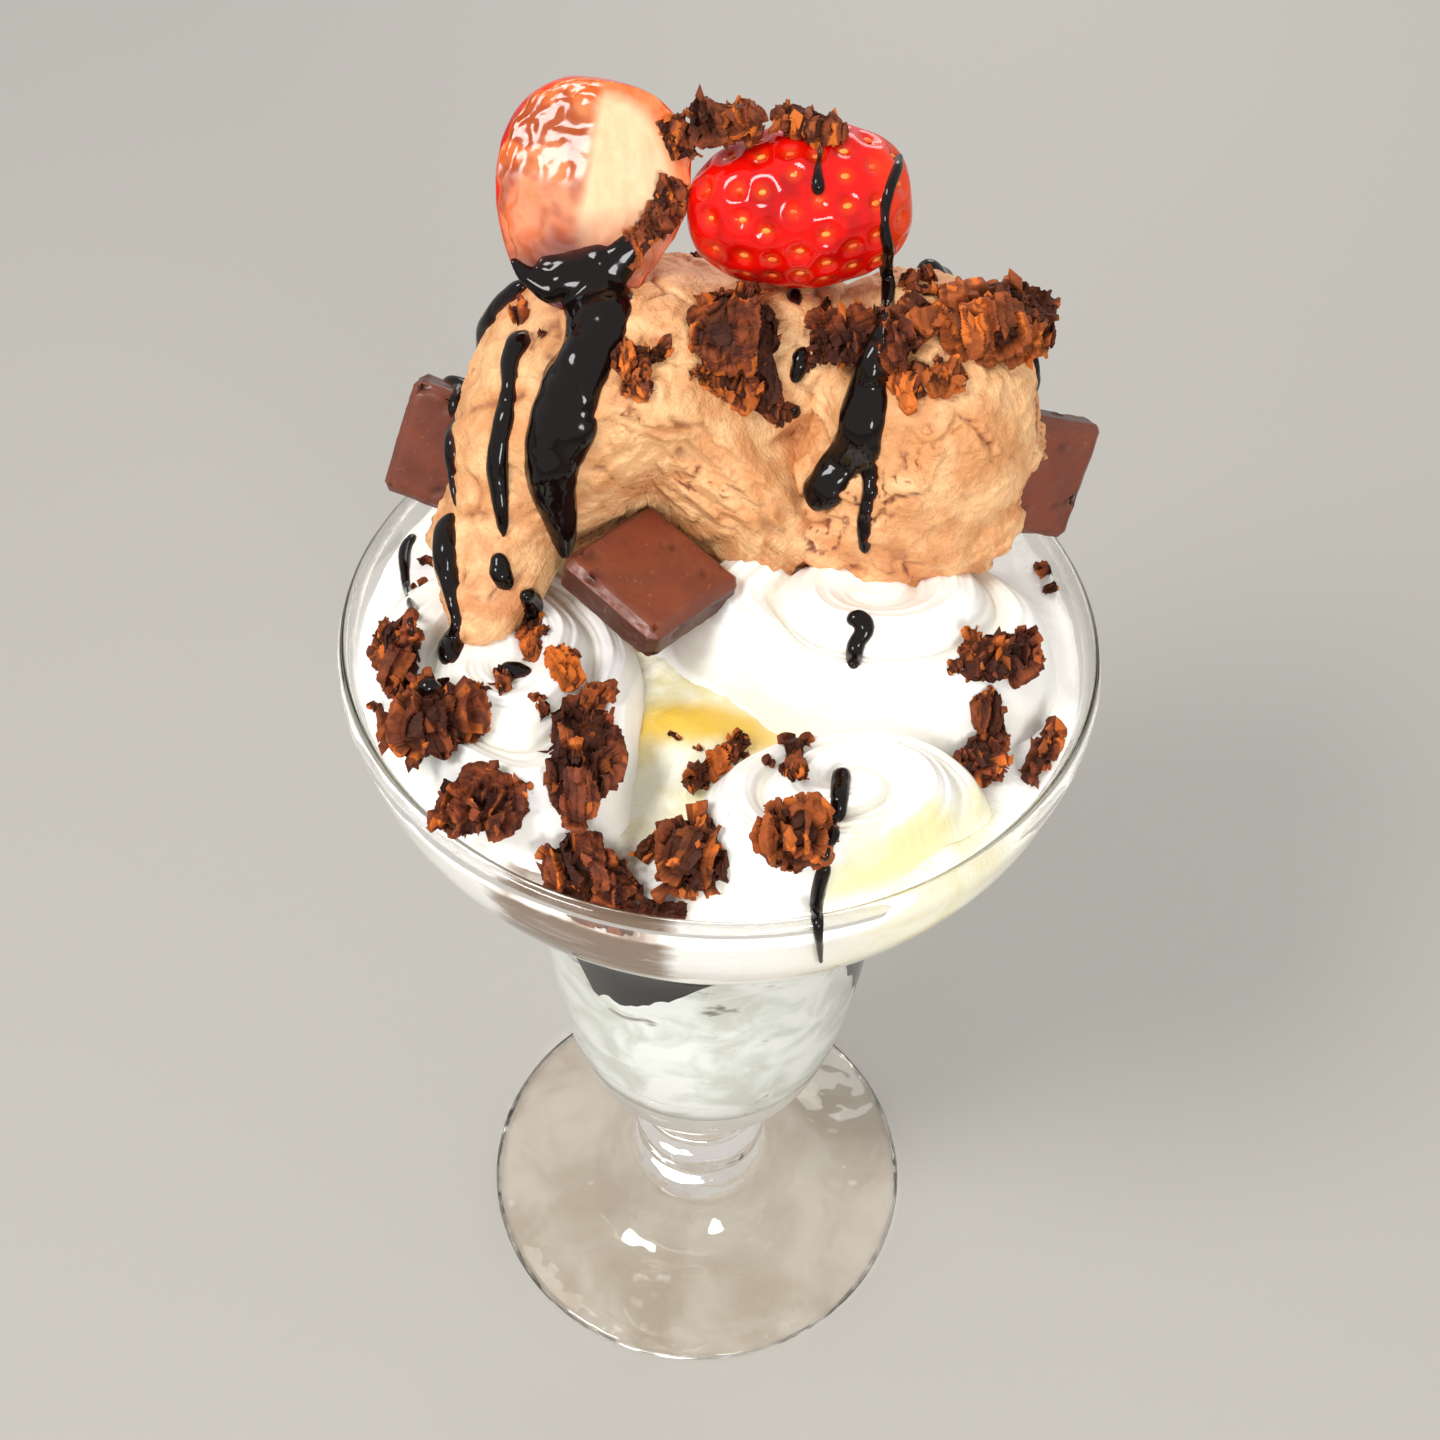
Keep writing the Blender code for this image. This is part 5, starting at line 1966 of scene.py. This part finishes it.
@dataclass
class SauceRuns:
    """The thick sauce on the berries, the scoops and the cream, in one piece.

    leap is how far the ground may fall away along a run before the run skips it.
    """

    ground: Ground
    rim_ground: Ground
    grain: float = 0.34 * MM
    leap: float = 3.0 * MM
    lift: float = 0.05 * MM
    sink: float = 0.9 * MM
    runs: tuple[Run, ...] = (
        Run(
            "main",
            (
                (590, 276, 60), (598, 300, 74), (594, 330, 68), (578, 362, 66), (566, 396, 70),
                (558, 430, 72), (551, 460, 60), (552, 488, 48), (560, 514, 38), (565, 545, 24),
                (562, 566, 12),
            ),
            2.6,
        ),
        Run(
            "second",
            (
                (528, 330, 16), (516, 346, 28), (510, 368, 24), (509, 388, 17), (506, 410, 23),
                (500, 436, 21), (497, 470, 24), (500, 500, 19), (504, 538, 10),
            ),
            1.5,
        ),
        Run("second_lower", ((498, 552, 16), (501, 572, 24), (510, 590, 16)), 1.3),
        Run("third_drop", ((522, 590, 14), (532, 604, 26), (530, 622, 16), (526, 640, 8)), 1.4),
        Run(
            "left_edge",
            (
                (497, 284, 18), (488, 306, 24), (476, 336, 14), (462, 366, 9), (456, 392, 12),
                (453, 420, 18), (452, 450, 20), (453, 478, 12), (456, 508, 7),
            ),
            1.4,
        ),
        Run(
            "skirt",
            (
                (454, 512, 10), (445, 530, 26), (446, 558, 28), (449, 582, 22), (453, 604, 14),
                (457, 626, 14), (450, 646, 30), (449, 664, 20),
            ),
            1.7,
        ),
        Run(
            "thin_left",
            (
                (415, 534, 10), (405, 550, 14), (405, 576, 10), (409, 610, 9), (413, 640, 7),
                (420, 664, 6),
            ),
            1.1,
        ),
        Run(
            "fork",
            (
                (886, 306, 8), (880, 332, 18), (874, 356, 30), (867, 384, 44), (863, 412, 50),
                (858, 440, 48), (836, 466, 42), (822, 490, 46), (816, 510, 32),
            ),
            1.8,
        ),
        Run(
            "fork_right",
            ((868, 436, 30), (871, 466, 22), (870, 494, 18), (864, 522, 16), (865, 554, 12)),
            1.5,
        ),
        Run(
            "berry_right",
            (
                (900, 152, 7), (897, 168, 14), (889, 190, 13), (884, 220, 11), (888, 250, 15),
                (889, 280, 17), (886, 306, 14), (883, 322, 16),
            ),
            1.3,
        ),
        Run(
            "berry_drop",
            ((822, 128, 4), (820, 150, 5), (818, 170, 9), (818, 186, 15), (818, 196, 10)),
            1.4,
        ),
        Run("drop_high", ((795, 288, 12), (795, 296, 17), (795, 304, 11)), 1.5),
        Run("drop_middle", ((806, 346, 12), (799, 364, 22), (794, 384, 13)), 1.5),
        Run("drop_low", ((794, 404, 12), (794, 411, 16), (794, 419, 11)), 1.5),
        Run("tip_left", ((511, 258, 10), (520, 272, 20), (538, 284, 30), (564, 292, 42)), 1.2),
        Run("tip_film", ((536, 264, 18), (556, 266, 26), (584, 264, 34), (610, 250, 26)), 0.42),
        Run("tip_pool", ((548, 282, 26), (568, 284, 40), (590, 282, 52), (606, 272, 44)), 1.5),
        Run("tip_right", ((650, 216, 12), (639, 238, 26), (622, 258, 38), (602, 280, 48)), 1.3),
        Run(
            "rim_drip",
            (
                (826, 862, 16), (820, 884, 17), (817, 905, 16), (818, 926, 12), (820, 948, 8),
                (821, 964, 5),
            ),
            1.5,
            over_rim=True,
        ),
        Run(
            "cream_hook",
            (
                (846, 621, 16), (860, 619, 22), (866, 630, 18), (857, 642, 18), (854, 656, 18),
                (853, 670, 12),
            ),
            1.3,
        ),
        Run(
            "cream_stroke",
            ((842, 768, 20), (840, 790, 20), (838, 815, 17), (832, 840, 14), (824, 862, 10)),
            1.3,
        ),
        Run("left_blob", ((420, 680, 14), (428, 686, 26), (440, 690, 16)), 1.4),
        Run("middle_blob", ((500, 666, 14), (515, 672, 24), (530, 674, 14)), 1.4),
    )
    back_runs: tuple[BackRun, ...] = (
        BackRun(
            (-14, 17),
            ((104, 211, 4.5), (108, 203, 6.5), (103, 194, 5.0), (106, 186, 6.0), (104, 179, 3.0)),
        ),
        BackRun((-14, 17), ((138, 208, 3.0), (143, 200, 4.5), (140, 191, 3.2), (142, 184, 2.0))),
        BackRun(
            (-14, 17),
            ((158, 206, 3.0), (162, 198, 5.0), (159, 189, 3.6), (161, 182, 4.2), (160, 177, 2.0)),
        ),
        BackRun(
            (26, 18),
            ((84, 210, 4.0), (79, 202, 6.0), (82, 194, 4.2), (79, 187, 5.2), (80, 180, 2.4)),
        ),
        BackRun((26, 18), ((48, 206, 3.0), (44, 198, 4.4), (47, 190, 3.0), (45, 183, 3.6))),
        BackRun((26, 18), ((24, 200, 2.4), (20, 193, 4.0), (22, 186, 2.6))),
        BackRun((-27, 35), ((96, 176, 3.0), (100, 172, 3.6), (97, 168, 2.0)), 50.0, 1.2),
        BackRun((21, 39), ((70, 176, 2.4), (66, 172, 3.4), (68, 168, 2.0)), 50.0, 1.2),
    )

    def front_skin(self, run: Run, steps: int = 72) -> Skin:
        """Lays one run on what the camera sees behind it.

        Args:
            run: The run.
            steps: How many rings it has along its length.

        Returns:
            Its skin.
        """
        ground = self.rim_ground if run.over_rim else self.ground
        middles, outs, widths = [], [], []
        stand = Vector(ground.sight.place)
        depth, leap = None, 0.0
        for u, v, width in smooth_keys(run.keys, steps):
            seat = ground.seen(u, v)
            if seat is None:
                continue
            away = (seat[0] - stand).length
            if depth is not None and not run.over_rim and away - depth > self.leap + leap:
                leap += 0.5 * self.leap
                continue
            depth, leap = away, 0.0
            middles.append(np.array(seat[0]))
            outs.append(np.array(seat[1]))
            widths.append(width * ground.sight.scale(seat[0]))
        return self.laid(ground, middles, outs, widths, run.thickness)

    def back_skin(self, run: BackRun, steps: int = 60) -> Skin:
        """Lays one run down the side that the photograph doesn't show.

        Args:
            run: The run.
            steps: How many rings it has along its length.

        Returns:
            Its skin.
        """
        middles, outs, widths = [], [], []
        for azimuth, height, width in smooth_keys(run.keys, steps):
            target = (run.centre[0] * MM, run.centre[1] * MM, height * MM)
            seat = self.ground.toward(target, azimuth, run.slope)
            if seat is not None:
                middles.append(np.array(seat[0]))
                outs.append(np.array(seat[1]))
                widths.append(width * MM)
        return self.laid(self.ground, middles, outs, widths, run.thickness)

    def laid(
        self,
        ground: Ground,
        middles: list[Points],
        outs: list[Points],
        widths: list[float],
        thickness: float,
        across: int = 15,
    ) -> Skin:
        """A run's body on the ground, rounded above and sunk a little into what carries it.

        Args:
            ground: What carries it.
            middles: Its middle at each step.
            outs: The ground's outward direction at each step.
            widths: How wide it is at each step, in metres.
            thickness: How thick it is at most, in millimetres.
            across: How many places each ring has on its upper side.

        Returns:
            Its skin.
        """
        middle = self.eased(np.array(middles), 5)
        out = unit(self.eased(np.array(outs), 16))
        half = np.array(widths) / 2
        travel = np.concatenate([[0], np.cumsum(np.linalg.norm(np.diff(middle, axis=0), axis=1))])
        for end, away in ((half[0], travel), (half[-1], travel[-1] - travel)):
            near = np.clip(away / max(end, 0.4 * MM), 0.02, 1)
            half = half * np.sqrt(1 - (1 - near) ** 2)
        sideways = unit(np.cross(np.gradient(middle, axis=0), out))
        share = np.sin(np.linspace(-math.pi / 2, math.pi / 2, across))
        spots = middle[:, None] + sideways[:, None] * (half[:, None] * share)[..., None]
        rest, normal = ground.nearest(spots.reshape(-1, 3))
        rest = self.eased(rest.reshape(spots.shape), 4)
        rest = self.eased(rest.swapaxes(0, 1), 2).swapaxes(0, 1)
        normal = unit(0.3 * normal.reshape(spots.shape) + out[:, None])
        full = np.minimum(thickness * MM, 0.8 * half)
        rounded = (1 - np.abs(share) ** 2.4) ** 0.6
        upper = rest + normal * (full[:, None] * rounded + self.lift)[..., None]
        lower = rest - normal * (self.sink * np.minimum(1, 2 * half / MM))[:, None, None]
        rings = np.concatenate([upper, lower[:, ::-1]], 1)
        return capped(rings, rings[0].mean(0), rings[-1].mean(0))

    def eased(self, rows: Points, rounds: int) -> Points:
        """The rows with their jumps evened out, this many times over."""
        for _ in range(rounds):
            inner = 0.25 * rows[:-2] + 0.5 * rows[1:-1] + 0.25 * rows[2:]
            rows = np.vstack([rows[:1], inner, rows[-1:]])
        return rows

    def build(self) -> Skin:
        """Makes every run, melted together where runs meet, and returns their skin."""
        bodies = [self.front_skin(run) for run in self.runs]
        bodies += [self.back_skin(run) for run in self.back_runs]
        skin = melted(joined(bodies), self.grain)
        rest, _ = self.ground.nearest(skin.points)
        cover = np.linalg.norm(skin.points - rest, axis=1)
        skin.values["thin"] = np.clip(1 - cover / (0.5 * MM), 0, 1)
        dress("sauce_runs", skin, Sauce(), Slot.SAUCE)
        return skin


@dataclass(frozen=True)
class Studio:
    """The plain pale floor and the soft light."""

    drop: float = 0.3 * MM
    side: float = 3.0
    air: Colour = (1.0, 0.99, 0.97, 1.0)
    room: float = 0.75
    key: float = 5.0
    glint: float = 1.0
    back: float = 2.5

    def lamp(
        self, name: str, place: tuple[float, float, float], size: float, power: float
    ) -> None:
        """A soft round light.

        Args:
            name: The light's name.
            place: Where it hangs, in metres. It faces the middle of the sundae.
            size: How wide it is, in metres.
            power: How bright it is, in watts.
        """
        light = bpy.data.lights.new(name, "AREA")
        light.shape = "DISK"
        light.size = size
        light.energy = power
        stand = bpy.data.objects.new(name, light)
        toward = Vector((0, 0, 0.15)) - Vector(place)
        pose = toward.to_track_quat("-Z", "Y").to_matrix().to_4x4()
        stand.matrix_world = Matrix.Translation(place) @ pose
        bpy.context.scene.collection.objects.link(stand)

    def build(self) -> None:
        """Makes the floor, the lights and the room's even light."""
        side, low = self.side, -self.drop
        corners = [(-side, -side, low), (side, -side, low), (side, side, low), (-side, side, low)]
        mesh = bpy.data.meshes.new("floor")
        mesh.from_pydata(corners, [], [(0, 1, 2, 3)])
        mesh.materials.append(StudioFloor().material())
        floor = bpy.data.objects.new("floor", mesh)
        bpy.context.scene.collection.objects.link(floor)
        self.lamp("key_light", (-0.45, -0.35, 0.85), 0.3, self.key)
        self.lamp("glint_light", (0.155, -0.46, 0.31), 0.13, self.glint)
        self.lamp("back_light", (0.15, 0.75, 0.6), 0.5, self.back)
        world = bpy.data.worlds.new("room")
        world.use_nodes = True
        sky = world.node_tree.nodes["Background"]
        sky.inputs["Color"].default_value = self.air
        sky.inputs["Strength"].default_value = self.room
        bpy.context.scene.world = world
        bpy.context.scene.view_settings.view_transform = "Standard"


def main() -> None:
    """Builds the studio and every piece of the sundae in order."""
    logging.basicConfig(level=logging.INFO, format="%(message)s", stream=sys.stdout)
    sight = Sight()
    sight.build()
    Studio().build()
    glass = Glass()
    glass_skin = glass.build()
    vanilla = Fillings(glass.form).build()
    cream = CreamRing(glass.form).build()
    ice = [scoop.build() for scoop in scoops()]
    squares = Squares().build()
    fruit = [berry.build() for berry in berries()]
    brownie = Brownie()
    broken = brownie.build()
    food = [vanilla, *cream, *ice, *squares, *fruit]
    ground = Ground(food, sight)
    LooseCrumbs(brownie, ground, glass.form).build()
    SauceRuns(Ground([*food, *broken], sight), Ground([*food, glass_skin], sight)).build()


if __name__ == "__main__":
    main()
